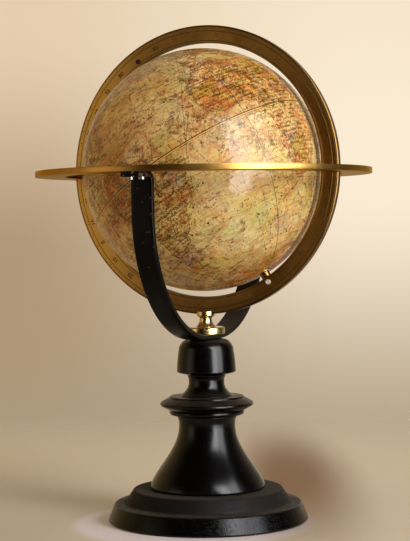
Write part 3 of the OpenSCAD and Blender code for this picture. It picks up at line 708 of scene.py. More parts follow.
rivers = paths("""
-50 -0.5 -55 -2 -60 -3.2 -66 -3 -72 -4 -76 -4.8 / -58.4 -34 -60.5 -31.5 -58.5 -27.5 -57.5 -23 -57.8 -18 / -36.5 -10.5
-41 -9.5 -44 -14 -45 -19 / -61 9 -65 8 -67.5 5 -66 2.5 / -58 -3 -60 -8 -64 -12 / -51 -2 -52 -8 -54 -14 / 6 4.5 6.5 8
3.5 12 -0.5 16.5 -4 14.5 -9 10.5 / 12.5 -6 16 -3.5 18.5 1.8 23 2 26 -3 26.5 -9 / 31 31 31 27 33 22 32 17 32.5 13 31.5 6
32 1 / 36 -18.7 31 -15.8 27 -17.5 23 -15 / 16.5 -28.6 21 -28.8 25 -30 / -89.5 29.5 -91 33 -89.5 37 -91.5 42 -95 46.5 /
-90.3 38.7 -96 41.5 -103 47.5 -111 47 / -89.5 37 -84 39 -80 41 / -114.5 32 -110 37 -106 40 / -115 69 -120 63 -116 59
-112 56 / 29 45 24 43.8 19 46 13 48.5 / 4 52 7.5 49 8.5 47.5 / 48 46 45 50 49 54 43 56.5 35 57 / 31 46.5 34 49 31 53 /
70 67 66 61 74 57 82 51 / 83 70 87 64 92 56 95 51 / 127 72 124 65 129 61 115 59 107 54 / 140 53 133 48 126 51 119 53 /
121 31.5 113 30 106 29 99 30 / 118 38 112 35 108 39 101 36 / 90 23 86 25.5 79 28 / 67.5 24.5 70 29 74 34 / 48 30 44 33
39 37 / 98 16 98.5 22 97 28 / 106.5 10 104 16 101 22 / 139 -35 144 -34 148 -31
""")
ranges = paths("""
-73 8 -78 -2 -76 -12 -69 -18 -70 -30 -72 -42 -73 -50 / -44 -16 -45 -22 -50 -26 / -8 31.5 2 34.5 8 35.5 / 36 14 38 9 36
2 35 -4 / 31 -30 28 -31 22 -33 / 6 23 17 20 20 22 / -117 60 -115 50 -108 42 -105 35 -103 28 / -122 48 -119 38 -117 34 /
-84 35 -78 40 -72 44 / 7 44.5 10 46.5 15 47 / -2 43 2 42.5 / 40 43.5 48 41.5 / 59 67 59 60 58 52 / 72 36 80 31 88 28 96
28 / 76 42 86 44 92 49 102 51 / 7 60 14 65 20 69 / 22 46 26 45.5 / 74 19 76 12 / 128 58 140 62 152 64 / 148 -36 151 -30
146 -21 / 37 38 46 36 52 32 58 29
""")
# the third number is a tint: 0 orange, 1 yellow, 2 olive, 3 green, 4 pink, 5 lavender
regionSeeds = paths("""
-74 4 0 -66 7 3 -59 4 1 -78 -1 2 -76 -9 4 -65 -17 3 -62 -4 1 -52 -4 0 -40 -8 4 -45 -15 1 -50 -23 2 -56 -14 4 -58 -23 0
-56 -33 5 -64 -33 1 -67 -43 4 -72 -33 0 -73 -48 0 -54 -28 1 -68 -53 2 -6 31 1 3 29 4 9.5 35 2 17 27 1 28 27 3 30 15 1
39 9 0 47 6 4 -9 19 1 -3 22 5 -14 13 0 -10 7 3 -4 10 2 1 10 4 8 9 0 10 17 2 19 14 1 14 4 3 20 6 5 23 -3 3 13 0 0 17 -12
4 17 -22 5 23 -21 1 22 -31 0 27 -28 2 30 -19 0 36 -12 4 35 -6 5 37 1 0 33 3 2 46 -19 1 -4 40 1 -8 39 3 3 47 5 -2 53 0
-8 53 3 10 51 1 8 46.5 4 12 43 3 15 48 4 20 52 2 22 45 5 22 40 0 14 61 2 9 61 4 26 63 3 38 56 1 29 50 4 34 39 4 -18 65
0 44 32 1 45 24 0 48 16 3 54 33 3 60 43 5 66 33 4 68 49 2 68 62 1 95 64 4 120 65 1 145 65 2 165 65 4 77 23 4 73 30 1 85
33 5 90 43 2 104 46 0 105 35 1 115 29 1 124 45 4 96 21 0 101 16 2 106 15 5 102 3 0 127 37 3 138 37 0 100 0 2 110 -7 4
114 1 3 121 -2 1 135 -4 4 144 -6 0 122 14 5 118 -25 4 128 -22 1 135 -20 0 135 -30 2 144 -23 5 146 -32 1 144 -37 3 147
-42 0 175 -40 4 -152 65 4 -135 62 1 -122 54 3 -110 60 4 -105 53 0 -92 55 2 -80 50 1 -72 55 4 -120 44 0 -120 37 1 -111
37 4 -108 45 2 -98 46 1 -98 39 5 -98 32 0 -90 42 3 -90 34 1 -83 40 4 -84 33 2 -81 28 0 -76 42 0 -70 45 3 -104 24 3 -97
18 4 -89 16 1 -84 12 0 -79 22 4 -71 19 2 -40 74 5 -75 68 2 -60 -80 1 60 -80 4 170 -82 2
""", 3)[0]
print("map outlines:", len(coastOutlines))


# Globe

globeLook = {"radius": 76.0, "inner": 75.7, "holeAngle": 3.394, "around": 384, "rows": 192, "innerRows": 14,
             "frontLongitude": 40, "coastStep": 0.55, "coastRoughness": 0.13, "seed": 11}
tints = [linear(214, 130, 74), linear(228, 188, 88), linear(164, 160, 78), linear(128, 158, 92), linear(212, 132, 96),
         linear(150, 156, 168)]
perDegree = globeLook["radius"] * math.pi / 180  # mm on the paper
mapShare = 0.94  # of the picture's height, the rest is the inner side


def mapDirections(longitudes, latitudes):  # unit vectors in the polar frame
    a, b = np.radians(np.asarray(longitudes) - globeLook["frontLongitude"]), np.radians(latitudes)
    return np.stack((np.cos(b) * np.cos(a), np.cos(b) * np.sin(a), np.sin(b) + 0 * a), -1)


def roughened(outline, chance, closed=True):  # breaks long edges into small uneven ones
    points = list(outline) + ([outline[0]] if closed else [])
    result = []

    def split(a, b):
        squeeze = max(math.cos(math.radians((a[1] + b[1]) / 2)), 0.15)
        dx, dy = (b[0] - a[0]) * squeeze, b[1] - a[1]
        straight = min(a[1], b[1]) <= -90 or (abs(a[0]) == 180 and a[0] == b[0])
        if straight or math.hypot(dx, dy) < globeLook["coastStep"]:
            result.append(a)
            return
        shift = chance.uniform(-1, 1) * globeLook["coastRoughness"]
        middle = ((a[0] + b[0]) / 2 - dy * shift / squeeze, (a[1] + b[1]) / 2 + dx * shift)
        split(a, middle)
        split(middle, b)

    for a, b in zip(points, points[1:]):
        split(a, b)
    if not closed:
        result.append(points[-1])
    return result


def landMask(longitudes, latitudes, outlines):  # for a grid, row by row
    inside = np.zeros((len(latitudes), len(longitudes)), bool)
    for outline in outlines:
        lon0, lat0 = np.array(outline).T
        lon1, lat1 = np.roll(lon0, -1), np.roll(lat0, -1)
        for j, latitude in enumerate(latitudes):
            hit = (lat0 <= latitude) != (lat1 <= latitude)
            if hit.any():
                crossings = np.sort(lon0[hit] + (latitude - lat0[hit]) * (lon1[hit] - lon0[hit]) / (lat1[hit] - lat0[hit]))
                for around in (-360, 0, 360):
                    inside[j] ^= np.searchsorted(crossings + around, longitudes) % 2 == 1
    return inside


def coastDistance(directions, outlines):  # in mm along the surface, always positive
    starts, ends = [], []
    for outline in outlines:
        ring = np.array(outline + outline[:1])
        real = ~((ring[:-1, 1] < -79) | (ring[1:, 1] < -79))
        points = mapDirections(ring[:, 0], ring[:, 1]) * globeLook["radius"]
        starts.append(points[:-1][real])
        ends.append(points[1:][real])
    starts, ends = np.concatenate(starts), np.concatenate(ends)
    middles = (starts + ends) / 2
    tree = KDTree(len(middles))
    for i, point in enumerate(middles):
        tree.insert(point, i)
    tree.balance()
    points = directions * globeLook["radius"]
    near = np.array([[hit[1] for hit in tree.find_n(point, 3)] for point in points])
    best = np.full(len(points), 1e9)
    for k in range(3):
        a, b = starts[near[:, k]], ends[near[:, k]]
        along = np.clip(((points - a) * (b - a)).sum(1) / np.maximum(((b - a) ** 2).sum(1), 1e-12), 0, 1)
        best = np.minimum(best, np.linalg.norm(points - a - (b - a) * along[:, None], axis=1))
    return best


def regionFields(directions):
    # the nearest seed's tint, and signed distances whose noughts are the borders between regions
    seeds = np.array(regionSeeds, float)
    places = mapDirections(seeds[:, 0], seeds[:, 1]) * globeLook["radius"]
    noise.seed_set(globeLook["seed"])  # without it the clock shifts the noise
    wavy = np.array([tuple(noise.noise_vector(Vector(d) * 5) * 5 + noise.noise_vector(Vector(d) * 15) * 2.2
                           + noise.noise_vector(Vector(d) * 38) * 0.9) for d in directions])
    points = directions * globeLook["radius"] + wavy
    gaps = np.linalg.norm(points[:, None, :] - places[None, :, :], axis=2)
    tintIndex = seeds[:, 2].astype(int)
    fields = []
    for bit in range(3):
        one = (tintIndex >> bit) & 1 == 1
        fields.append((gaps[:, ~one].min(1) - gaps[:, one].min(1)) / 2)
    return tintIndex[gaps.argmin(1)], np.stack(fields, 1)


def paintMap(mesh, grid):
    count, columns = grid[0] * grid[1], grid[1]
    longitudes = (np.arange(columns) * 360 / columns + globeLook["frontLongitude"] + 180) % 360 - 180
    hole = globeLook["holeAngle"]
    latitudes = 90 - np.linspace(hole, 180 - hole, grid[0])
    chance = random.Random(globeLook["seed"])
    outlines = [roughened(outline, chance) for outline in coastOutlines]
    directions = mapDirections(np.tile(longitudes, grid[0]), np.repeat(latitudes, columns))
    land = landMask(longitudes, latitudes, outlines).ravel()
    coast = coastDistance(directions, outlines) * np.where(land, 1, -1)
    tintIndex, fields = regionFields(directions)
    total = len(mesh.vertices)
    for name, kind, values in (("coast", "FLOAT", coast[:, None]), ("borders", "FLOAT_VECTOR", fields),
                               ("mapTint", "FLOAT_COLOR", np.array(tints)[tintIndex])):
        padded = np.zeros((total, values.shape[1]))
        padded[:count] = values
        key = {"FLOAT": "value", "FLOAT_VECTOR": "vector", "FLOAT_COLOR": "color"}[kind]
        mesh.attributes.new(name, kind, "POINT").data.foreach_set(key, padded.ravel().astype(np.float32))
    return outlines


def globeMesh(name, material):
    look = globeLook
    columns, rows, inner, hole = look["around"], look["rows"] + 1, look["innerRows"] + 1, math.radians(look["holeAngle"])
    profile = [(look["radius"], hole + (math.pi - 2 * hole) * j / (rows - 1)) for j in range(rows)]
    profile += [(look["inner"], math.pi - hole - (math.pi - 2 * hole) * j / (inner - 1)) for j in range(inner)]
    vertices = [polarFrame @ (Vector((r * math.sin(t) * math.cos(a), r * math.sin(t) * math.sin(a), r * math.cos(t))) * mm)
                for r, t in profile for a in (2 * math.pi * i / columns for i in range(columns))]
    mesh = bpy.data.meshes.new(name)
    mesh.from_pydata([tuple(v) for v in vertices], [], gridFaces(len(profile), columns))
    heights = [1 - mapShare * j / (rows - 1) for j in range(rows)] + [0.05 - 0.04 * j / (inner - 1) for j in range(inner)]
    corners = []
    for j, height in enumerate(heights):
        low = heights[j + 1] if j + 1 < len(heights) else height - 0.004
        for i in range(columns):
            corners += [i / columns, height, i / columns, low, (i + 1) / columns, low, (i + 1) / columns, height]
    mesh.uv_layers.new(name="OFBake").data.foreach_set("uv", corners)
    thing = addToScene(mesh, material)
    outlines = paintMap(mesh, (rows, columns))
    smoothByAngle(thing, 40)
    return thing, outlines


mapLook = {"seaPale": linear(242, 218, 152), "seaDark": linear(216, 186, 104), "seaGreen": linear(204, 210, 148),
           "landPale": linear(250, 220, 130), "landDark": linear(232, 182, 88), "washInside": 0.2,
           "outlineRed": linear(190, 78, 44), "coastWash": linear(182, 168, 92), "print": linear(84, 47, 12),
           "ink": linear(36, 24, 14), "equatorGold": linear(222, 182, 92), "ageBrown": linear(152, 84, 8),
           "ageOrange": linear(194, 124, 44), "foxing": linear(110, 55, 8), "rubbed": linear(248, 230, 160),
           "stroke": linear(122, 66, 10), "faded": linear(248, 227, 166), "rowStep": 2.6,
           "greenTone": linear(132, 158, 72), "pinkTone": linear(206, 104, 74), "yellowTone": linear(222, 178, 62),
           "blueTone": linear(150, 158, 168), "paleAt": (0.0548, -0.0376, 0.1847),
           "shadeAndTonePatches": [((0.0315, -0.066, 0.2411), "ageBrown", 0.26), ((0.0116, -0.0668, 0.186), "landPale", 0.6),
                       ((-0.0271, -0.0684, 0.2015), "ageBrown", 0.5)]}


def mapMaterial():
    shade = Shading("varnished map")
    place = shade.coordinates()
    flat = shade.coordinates("UV").parts()
    east = flat[0] * 360 + globeLook["frontLongitude"]
    hole = globeLook["holeAngle"]
    north = (flat[1] - 1.0) * ((180 - 2 * hole) / mapShare) + (90 - hole)
    squeeze = north.math("RADIANS").math("COSINE")
    coast = shade.attribute("coast")
    borders = shade.attribute("borders", "Vector").parts()

    def lineOn(distance, half, soft=0.06):  # 1 on a line whose distance is given in mm
        return distance.below(half - soft, half + soft)

    def every(angle, step, scale):  # distance in mm to the nearest multiple of step
        return abs(angle.math("WRAP", step / 2, -step / 2)) * scale

    eastScale = squeeze * perDegree
    meridians = every(east, 15, eastScale)
    mainMeridians = every(east, 90, eastScale)
    gores = every(east + 7.5, 30, eastScale)
    parallels = every(north, 10, perDegree)

    def circleAt(latitude):
        return abs(north - latitude) * perDegree

    equator = circleAt(0)
    ecliptic = abs(north - (east + 96).math("RADIANS").math("SINE") * 23.5) * (perDegree * 0.93)
    onLand = coast.between(-0.03, 0.03)
    border = abs(borders[0]).atMost(abs(borders[1])).atMost(abs(borders[2]))
    toEdge = border.atMost(coast)
    blotches = place.noise(42, 5, 0.62)
    bigStains = place.noise(17, 3, 0.55)
    grain = place.noise(900, 4, 0.7)
    brush = place.noise(260, 3, 0.6)

    sea = shade.mix(blotches.between(0.3, 0.7), mapLook["seaPale"], mapLook["seaDark"])
    sea = shade.mix(bigStains.between(0.42, 0.62) * 0.55, sea, mapLook["seaGreen"])
    gap = place.distance(mapLook["paleAt"])
    sheltered = gap.below(0.02, 0.055)  # where the varnish kept its colour
    land = shade.mix(blotches.between(0.3, 0.7), mapLook["landPale"], mapLook["landDark"])
    wash = toEdge.between(0.4, 2.2, 0.7, mapLook["washInside"])
    wash = (wash * brush.between(0.28, 0.66, 0.35, 1.25)).clamped()
    land = shade.mix(wash, land, shade.attribute("mapTint", "Color"))
    rim = lineOn(toEdge, 0.5, 0.35) * place.noise(110, 3).between(0.42, 0.54)
    land = shade.mix(rim * 0.65, land, mapLook["outlineRed"])
    colour = shade.mix(onLand, sea, land)
    seaWash = coast.between(-2.2, -0.1, 0.0, 0.4)
    colour = shade.mix(seaWash * (1.0 - onLand), colour, mapLook["coastWash"])

    # age: brown clouds, foxing, rubbed and tinted patches
    kept = sheltered * (-0.6) + 1.0
    patchy = place.noise(36, 3, 0.6)

    def lay(tone, amount):  # one more coat over the colour so far
        nonlocal colour
        colour = shade.mix(amount, colour, mapLook[tone])

    busy = patchy.between(0.44, 0.56, 0.35, 1.0) * kept
    crowd = onLand.atLeast(patchy.between(0.46, 0.54, 0.12, 1.0)) * kept
    lay("ageOrange", kept * 0.16)
    for tone, scale, low, amount in (("greenTone", 62, 0.51, 0.7), ("pinkTone", 46, 0.56, 0.5),
                                     ("yellowTone", 38, 0.5, 0.55), ("blueTone", 57, 0.54, 0.5)):
        patch = place.scaled((1, 1, 1), (0.3 * scale, 0, 0.1)).noise(scale, 5, 0.68).between(low, low + 0.06)
        strength = onLand * (0.5 * amount) + 0.5 * amount
        lay(tone, patch * strength)
    lay("ageBrown", place.noise(58, 7, 0.74).between(0.44, 0.72) * (kept * 0.56))
    lay("ageOrange", place.noise(105, 5, 0.66).between(0.5, 0.64) * (onLand * 0.3 + 0.3))
    lay("rubbed", place.noise(120, 5, 0.7).between(0.5, 0.62) * (busy * 0.5))
    for axes, shift, amount in (((0.28, 1, 1), 0.0, 0.85), ((1, 1, 0.3), 0.3, 0.7)):  # brush-like marks, level and upright
        marks = place.turned(axes, 0.6 - shift * 3, shift).noise(250, 4, 0.7).between(0.56, 0.61)
        lay("stroke", marks * (busy * amount))
    lay("faded", place.noise(24, 4, 0.6).between(0.48, 0.58) * 0.36)
    lay("ageBrown", place.scaled((1, 1, 1), (0.7, 0, 0)).noise(22, 4, 0.6).between(0.5, 0.6) * (kept * 0.3))
    for spot, tone, amount in mapLook["shadeAndTonePatches"]:  # patches painted browner and paler at given places; the one above and right of the middle is painted shade where the window lights the globe most
        reach = patchy * 0.03 + place.distance(spot)
        lay(tone, reach.between(0.02, 0.042, amount, 0.0))
    lay("foxing", place.noise(330, 3, 0.6).between(0.60, 0.67) * 0.7)
    lay("print", grain.between(0.35, 0.75, 0.0, 0.16))
    lay("ageBrown", abs(north).between(58, 82, 0.0, 0.35))

    # fine print too small to read: ticks gathered to words, in rows along the parallels
    eastMm, northMm = east * eastScale, north * perDegree
    lineStep = mapLook["rowStep"]
    rowNumber = (northMm / lineStep).math("ROUND")
    inRow = lineOn(abs(northMm.math("WRAP", lineStep / 2, -lineStep / 2)), 0.6, 0.2)
    words = shade.join(eastMm * 0.15, rowNumber * 5.3).noise(1.0, 2).between(0.47, 0.51)
    ticks = shade.join(eastMm * 0.95, northMm * 0.7).noise(1.0, 2, 0.6).between(0.42, 0.54)
    lay("print", inRow * words * (ticks * (onLand * 0.4 + 0.4)) * (crowd * 0.5 + 0.5))

    def contour(scale, detail, half, soft):  # thin wandering lines, as roads, rivers and coloured limits
        return abs(place.noise(scale, detail, 0.62) - 0.5).below(half, half + soft)

    lay("outlineRed", contour(62, 4, 0.006, 0.02) * (onLand * 0.25 + 0.35))
    lay("print", contour(150, 2, 0.008, 0.024) * (onLand * 0.15 + 0.5) * crowd)

    ink = lineOn(abs(coast), 0.14)
    dotted = place.noise(620, 1).between(0.40, 0.52)
    ink = ink.atLeast(lineOn(border, 0.12) * dotted * onLand)
    grid = lineOn(meridians, 0.1).atLeast(lineOn(parallels, 0.08))
    grid = (grid * 0.6).atLeast(lineOn(mainMeridians, 0.26, 0.1) * 0.9)
    for latitude in (23.5, -23.5, 66.5, -66.5):
        grid = grid.atLeast(lineOn(circleAt(latitude), 0.14) * every(east, 1.6, 1.0).between(0.3, 0.4, 0.75, 0.3))
    grid = grid.atLeast(lineOn(ecliptic, 0.18) * 0.75)
    worn = place.noise(150, 4, 0.7).between(0.25, 0.5)
    ink = ink.atLeast(grid) * (worn * 0.55 + 0.45)
    lay("ink", ink * 0.85)
    lay("equatorGold", lineOn(equator, 0.6, 0.1) * 0.8)
    equatorInk = lineOn(abs(northMm - 0.5), 0.34, 0.12).atLeast(lineOn(abs(northMm + 0.68), 0.12))
    lay("ink", equatorInk * (worn * 0.3 + 0.65))
    lay("print", lineOn(gores, 0.12, 0.1) * 0.4)
    flecks = place.cells(300).between(0.10, 0.16, 0.8, 0.0)
    lay("ink", flecks)

    relief = place.noise(120, 4, 0.55)
    normal = relief.bump(0.5, 0.0005, grain.bump(0.12, 0.00015))
    return shade.surface(colour=colour, roughness=0.5, normal=normal, specular=0.2, coat=0.4, coatRoughness=0.1,
                         coatNormal=relief.bump(0.6, 0.0009, place.noise(420, 3, 0.6).bump(0.3, 0.0003)),
                         coatTint=(1.0, 0.95, 0.82, 1))


def buildGlobe():
    globe, outlines = globeMesh("map_globe", mapMaterial())
    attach(globe, "globe")
    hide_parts("map_gores", "map_calottes")
    showNodes(fibrous("raw wood", linear(186, 146, 98), linear(132, 92, 54), 500, (1, 1, 0.08)), "axle_post")
    showNodes(iron, "shell_nails")
    pasteboard = fibrous("pasteboard", linear(176, 148, 108), linear(128, 100, 66), 700, (1, 1, 1), 0.9, 0.4)
    showNodes(pasteboard, "north_shell", "south_shell")
    showNodes(fibrous("plaster", linear(232, 226, 210), linear(206, 196, 172), 900, (1, 1, 1), 0.85, 0.15), "plaster_coat")
    return outlines


roughOutlines = buildGlobe()
print("globe done")


# Printed ink

inkLook = {"sunk": -0.006, "proud": 0.017, "landNames": 1050, "seaNames": 420, "spots": 420, "dashes": 220,
           "highestName": 76, "seed": 23}
seaRoutes = paths("""
-6 49 -17 28 -33 -6 -40 -22 / -9 38 -20 16 -35 -8 / -17 14 -34 -8 / 18 -34 -10 -33 -42 -23 / 18 -34 -25 -40 -57 -36 /
-56 -35 -64 -50 -72 -56 -90 -50 / -42 -23 -28 12 -12 36 / -6 49 -30 50 -60 46 / -74 40 -40 44 -10 50 / -62 11 -35 30 -9
38 / 18 -34 4 -12 -14 6 -18 15 / -14 -8 -34 -9 / 8 3 -6 -16 -38 -14 / -79 7 -100 -2 -130 -16 -150 -17 / -72 -33 -100
-32 -130 -28 -150 -18 / -122 37 -150 26 -170 8 175 -15 153 -32 / -122 37 -150 45 180 47 145 36 / 43 12 60 12 73 18 / 18
-35 50 -36 90 -35 115 -33 / 48 -14 62 0 72 18 / 80 6 96 5 104 -4 114 -20 / 114 22 130 20 150 30 200 40 237 38 / 40 -4
56 -4 78 7 / -44 59 -20 60 -5 59 / 150 -34 165 -38 180 -45 220 -52 285 -57 / -25 38 -25 62 / -30 0 -20 -30 0 -45 20 -36
""")


class Ink:  # collects little closed strokes that stand a hair above the paper
    def __init__(self):
        self.vertices, self.faces = [], []

    def place(self, longitude, latitude, height):
        a, b = math.radians(longitude - globeLook["frontLongitude"]), math.radians(latitude)
        r = (globeLook["radius"] + height) * mm
        return Vector((r * math.cos(b) * math.cos(a), r * math.cos(b) * math.sin(a), r * math.sin(b)))

    def stroke(self, start, end, width):
        a0, a1, t0, t1 = (self.place(*point, inkLook[key]) for key in ("sunk", "proud") for point in (start, end))
        along = a1 - a0
        if along.length < 1e-5:
            return
        side = along.cross(a0).normalized() * (width * mm * 0.6)
        first = len(self.vertices)
        self.vertices += [polarFrame @ v for v in (a0 - side, a0 + side, t0, a1 - side, a1 + side, t1)]
        prism = ((0, 2, 1), (3, 4, 5), (0, 1, 4, 3), (1, 2, 5, 4), (2, 0, 3, 5))
        self.faces += [tuple(first + i for i in face) for face in prism]

    def line(self, points, width):
        for a, b in zip(points, points[1:]):
            self.stroke(a, b, width)

    def spot(self, longitude, latitude, radius, chance, sides=7):
        squeeze = perDegree * max(math.cos(math.radians(latitude)), 0.1)
        first = len(self.vertices)
        for i in range(sides):
            a, r = 2 * math.pi * i / sides, radius * chance.uniform(0.65, 1.25)
            x, y = longitude + r * math.cos(a) / squeeze, latitude + r * math.sin(a) / perDegree
            self.vertices.append(polarFrame @ self.place(x, y, inkLook["sunk"]))
        self.vertices.append(polarFrame @ self.place(longitude, latitude, inkLook["proud"] + 0.01))
        self.faces += [(first + i, first + (i + 1) % sides, first + sides) for i in range(sides)]
        self.faces.append(tuple(first + i for i in reversed(range(sides))))

    def row(self, longitude, latitude, letters, height, gap, width, chance, slope=0.0):
        # a name too small to read: uprights, slants and bars side by side
        squeeze = perDegree * max(math.cos(math.radians(latitude)), 0.1)

        def at(x, y):
            return longitude + x / squeeze, latitude + (y + x * slope) / perDegree

        x = 0.0
        for k in range(letters):
            tall = height * (1.25 if k == 0 else chance.choice((0.75, 0.8, 1.0, 1.2)))
            wide = height * chance.uniform(0.35, 0.6)
            kind = chance.randrange(5)
            self.stroke(at(x, 0), at(x + (0.15 * height if kind == 3 else 0), tall), width)
            if kind in (0, 3):
                self.stroke(at(x + wide, 0), at(x + wide, tall * 0.9), width * 0.9)
            if kind in (1, 2):
                self.stroke(at(x, tall * 0.5), at(x + wide, tall * chance.choice((0.1, 0.5, 0.9))), width * 0.8)
            x += wide + gap

    def build(self, name, material):
        thing = meshObject(name, self.vertices, self.faces, material, smooth=False)
        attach(thing, "globe")
        return thing


def inkMaterial(name, dark, pale):
    shade = Shading(name)
    place = shade.coordinates()
    worn = place.noise(420, 4, 0.7)
    colour = shade.mix(worn.between(0.42, 0.68), dark, pale)
    return shade.surface(colour=colour, roughness=0.45, specular=0.3, coat=0.4, coatRoughness=0.2)


def printInk(outlines):
    chance = random.Random(inkLook["seed"])
    degrees = np.arange(360) - 180 + 0.5
    land = landMask(degrees, np.arange(180) - 89.5, outlines)

    def onLand(longitude, latitude):
        return bool(land[min(max(int(latitude + 90), 0), 179)][int(longitude + 180) % 360])

    def anywhere():
        return chance.uniform(-180, 180), math.degrees(math.asin(chance.uniform(-0.97, 0.97)))

    black, red = Ink(), Ink()
    for river in rivers:
        black.line(roughened(river, chance, closed=False), 0.28)
    for route in seaRoutes:
        points = [Vector(mapDirections(*p)) for p in route]
        path = []
        for a, b in zip(points, points[1:]):
            steps = max(int(math.degrees(a.angle(b)) / 2), 2)
            path += [a.slerp(b, i / steps) for i in range(steps)]
        path.append(points[-1])
        flat = [(math.degrees(math.atan2(p.y, p.x)) + globeLook["frontLongitude"],
                 math.degrees(math.asin(max(min(p.z / p.length, 1), -1)))) for p in path]
        (black if chance.random() < 0.6 else red).line(flat, chance.choice((0.26, 0.34, 0.45)))
    for crest in ranges:
        path = roughened(crest, chance, closed=False)
        for a, b in zip(path, path[1:]):
            for side in (-1, 1):
                x, y = a[0] + chance.uniform(-0.4, 0.4), a[1] + chance.uniform(-0.4, 0.4)
                reach = chance.uniform(0.5, 1.1) * side
                across = (-(b[1] - a[1]), b[0] - a[0])
                size = math.hypot(*across) or 1
                (black if chance.random() < 0.55 else red).stroke(
                    (x, y), (x + across[0] / size * reach, y + across[1] / size * reach), 0.26)
    for wanted, count in ((True, inkLook["landNames"]), (False, inkLook["seaNames"])):
        placed = 0
        while placed < count:
            longitude, latitude = anywhere()
            if onLand(longitude, latitude) != wanted or abs(latitude) > inkLook["highestName"]:
                continue
            placed += 1
            if wanted:
                black.row(longitude, latitude, chance.randint(3, 7), chance.uniform(0.8, 1.4), chance.uniform(0.25, 0.6),
                          0.3, chance)
                if chance.random() < 0.5:
                    black.spot(longitude - 0.5, latitude + 0.2, chance.uniform(0.25, 0.5), chance, 6)
            else:
                big = chance.random() < 0.18
                black.row(longitude, latitude, chance.randint(4, 9), 2.2 if big else chance.uniform(0.8, 1.3),
                          chance.uniform(1.4, 2.8) if big else chance.uniform(0.3, 0.7), 0.45 if big else 0.28, chance,
                          chance.uniform(-0.5, 0.5) if chance.random() < 0.5 else 0.0)
    for i in range(inkLook["spots"]):
        longitude, latitude = anywhere()
        black.spot(longitude, latitude, chance.choice((0.35, 0.5, 0.7, 0.95)), chance)
    for i in range(inkLook["dashes"]):  # short reddish dashes of the coloured borders
        longitude, latitude = anywhere()
        if onLand(longitude, latitude):
            turn, reach = chance.uniform(0, math.pi), chance.uniform(0.6, 1.6)
            red.stroke((longitude, latitude), (longitude + reach * math.cos(turn), latitude + reach * math.sin(turn)), 0.45)
    black.build("map_ink", inkMaterial("black printing ink", linear(50, 29, 8), linear(114, 72, 24)))
    red.build("map_red_lines", inkMaterial("red printing ink", linear(150, 56, 30), linear(186, 104, 58)))


printInk(roughOutlines)
print("ink done")


# Room, lamps and camera

roomLook = {"windowPower": 19.0, "windowColour": (0.97, 0.97, 1.0), "windowSize": (0.5, 0.9), "windowDistance": 1.25,
            "windowAway": (0.92, -0.30, 0.26),
            "panes": [(-0.37, -0.02, -0.4, 0.7, 17.0), (0.02, 0.32, -0.12, 0.7, 10.0)],  # left, right, low, high, radiance
            "fillPower": 2.5, "fillColour": (1.0, 0.80, 0.58), "fillSize": (0.8, 0.7), "fillDistance": 1.4,
            "fillAway": (-0.71, -0.70, 0.11), "warmGlow": 1.35, "leftWall": (0.54, 0.36, 0.15, 1), "ambient": 0.68,
            "roomDark": linear(34, 29, 23), "roomPale": linear(186, 168, 140), "softDark": linear(176, 140, 100),
            "softPale": linear(226, 200, 160)}
wallLook = {"leftLow": linear(171, 153, 126), "left": linear(176, 151, 119), "leftHigh": linear(229, 206, 175),
            "right": linear(186, 169, 143), "rightHigh": linear(251, 236, 211), "rightTop": linear(246, 229, 201)}
floorLook = {"cloth": linear(200, 196, 206), "clothDark": linear(200, 192, 194), "clothCentre": (-0.004, -0.014),
             "clothRadius": 0.075, "far": linear(203, 193, 172), "dim": linear(60, 50, 36), "glow": linear(92, 86, 74),
             "dimGlow": linear(30, 26, 20), "paintedShadow": linear(106, 74, 44), "paintedShadowGlow": linear(56, 42, 26), "paintedShadowAmount": 0.92,
             "paintedShadowCentre": (0.062, 0.19), "paintedShadowReach": (0.064, 0.40), "ahead": (-0.416, 0.909), "half": 3}
cameraLook = {"place": (0.41919, -0.91560, 0.1835), "heading": 24.6, "down": 1.49, "roll": -0.8, "lens": 106.47}


def viewDirection():
    heading, down = math.radians(cameraLook["heading"]), math.radians(cameraLook["down"])
    return Vector((-math.sin(heading) * math.cos(down), math.cos(heading) * math.cos(down), -math.sin(down)))


def backdropColour(shade, place):  # the wall behind, from the parts of a direction, with painted light: brighter high up and on the right
    right = viewDirection().cross(Vector((0, 0, 1))).normalized()
    forward = (place[0] * place[0] + place[1] * place[1]).math("SQRT")
    across = (place[2] * right.z + (place[1] * right.y + place[0] * right.x)) / forward
    upwards = place[2] / forward
    left = shade.mix(upwards.between(-0.02, 0.13), wallLook["left"], wallLook["leftHigh"])
    left = shade.mix(upwards.below(-0.16, -0.03), left, wallLook["leftLow"])
    right = shade.mix(upwards.between(-0.13, 0.03), wallLook["right"], wallLook["rightHigh"])
    right = shade.mix(upwards.between(0.05, 0.15), right, wallLook["rightTop"])
    return shade.mix(across.between(-0.12, 0.10), left, right)


def inside(value, low, high, soft):  # 1 between two limits
    half = (high - low) / 2
    return abs(value - (low + high) / 2).below(half - soft, half + soft)


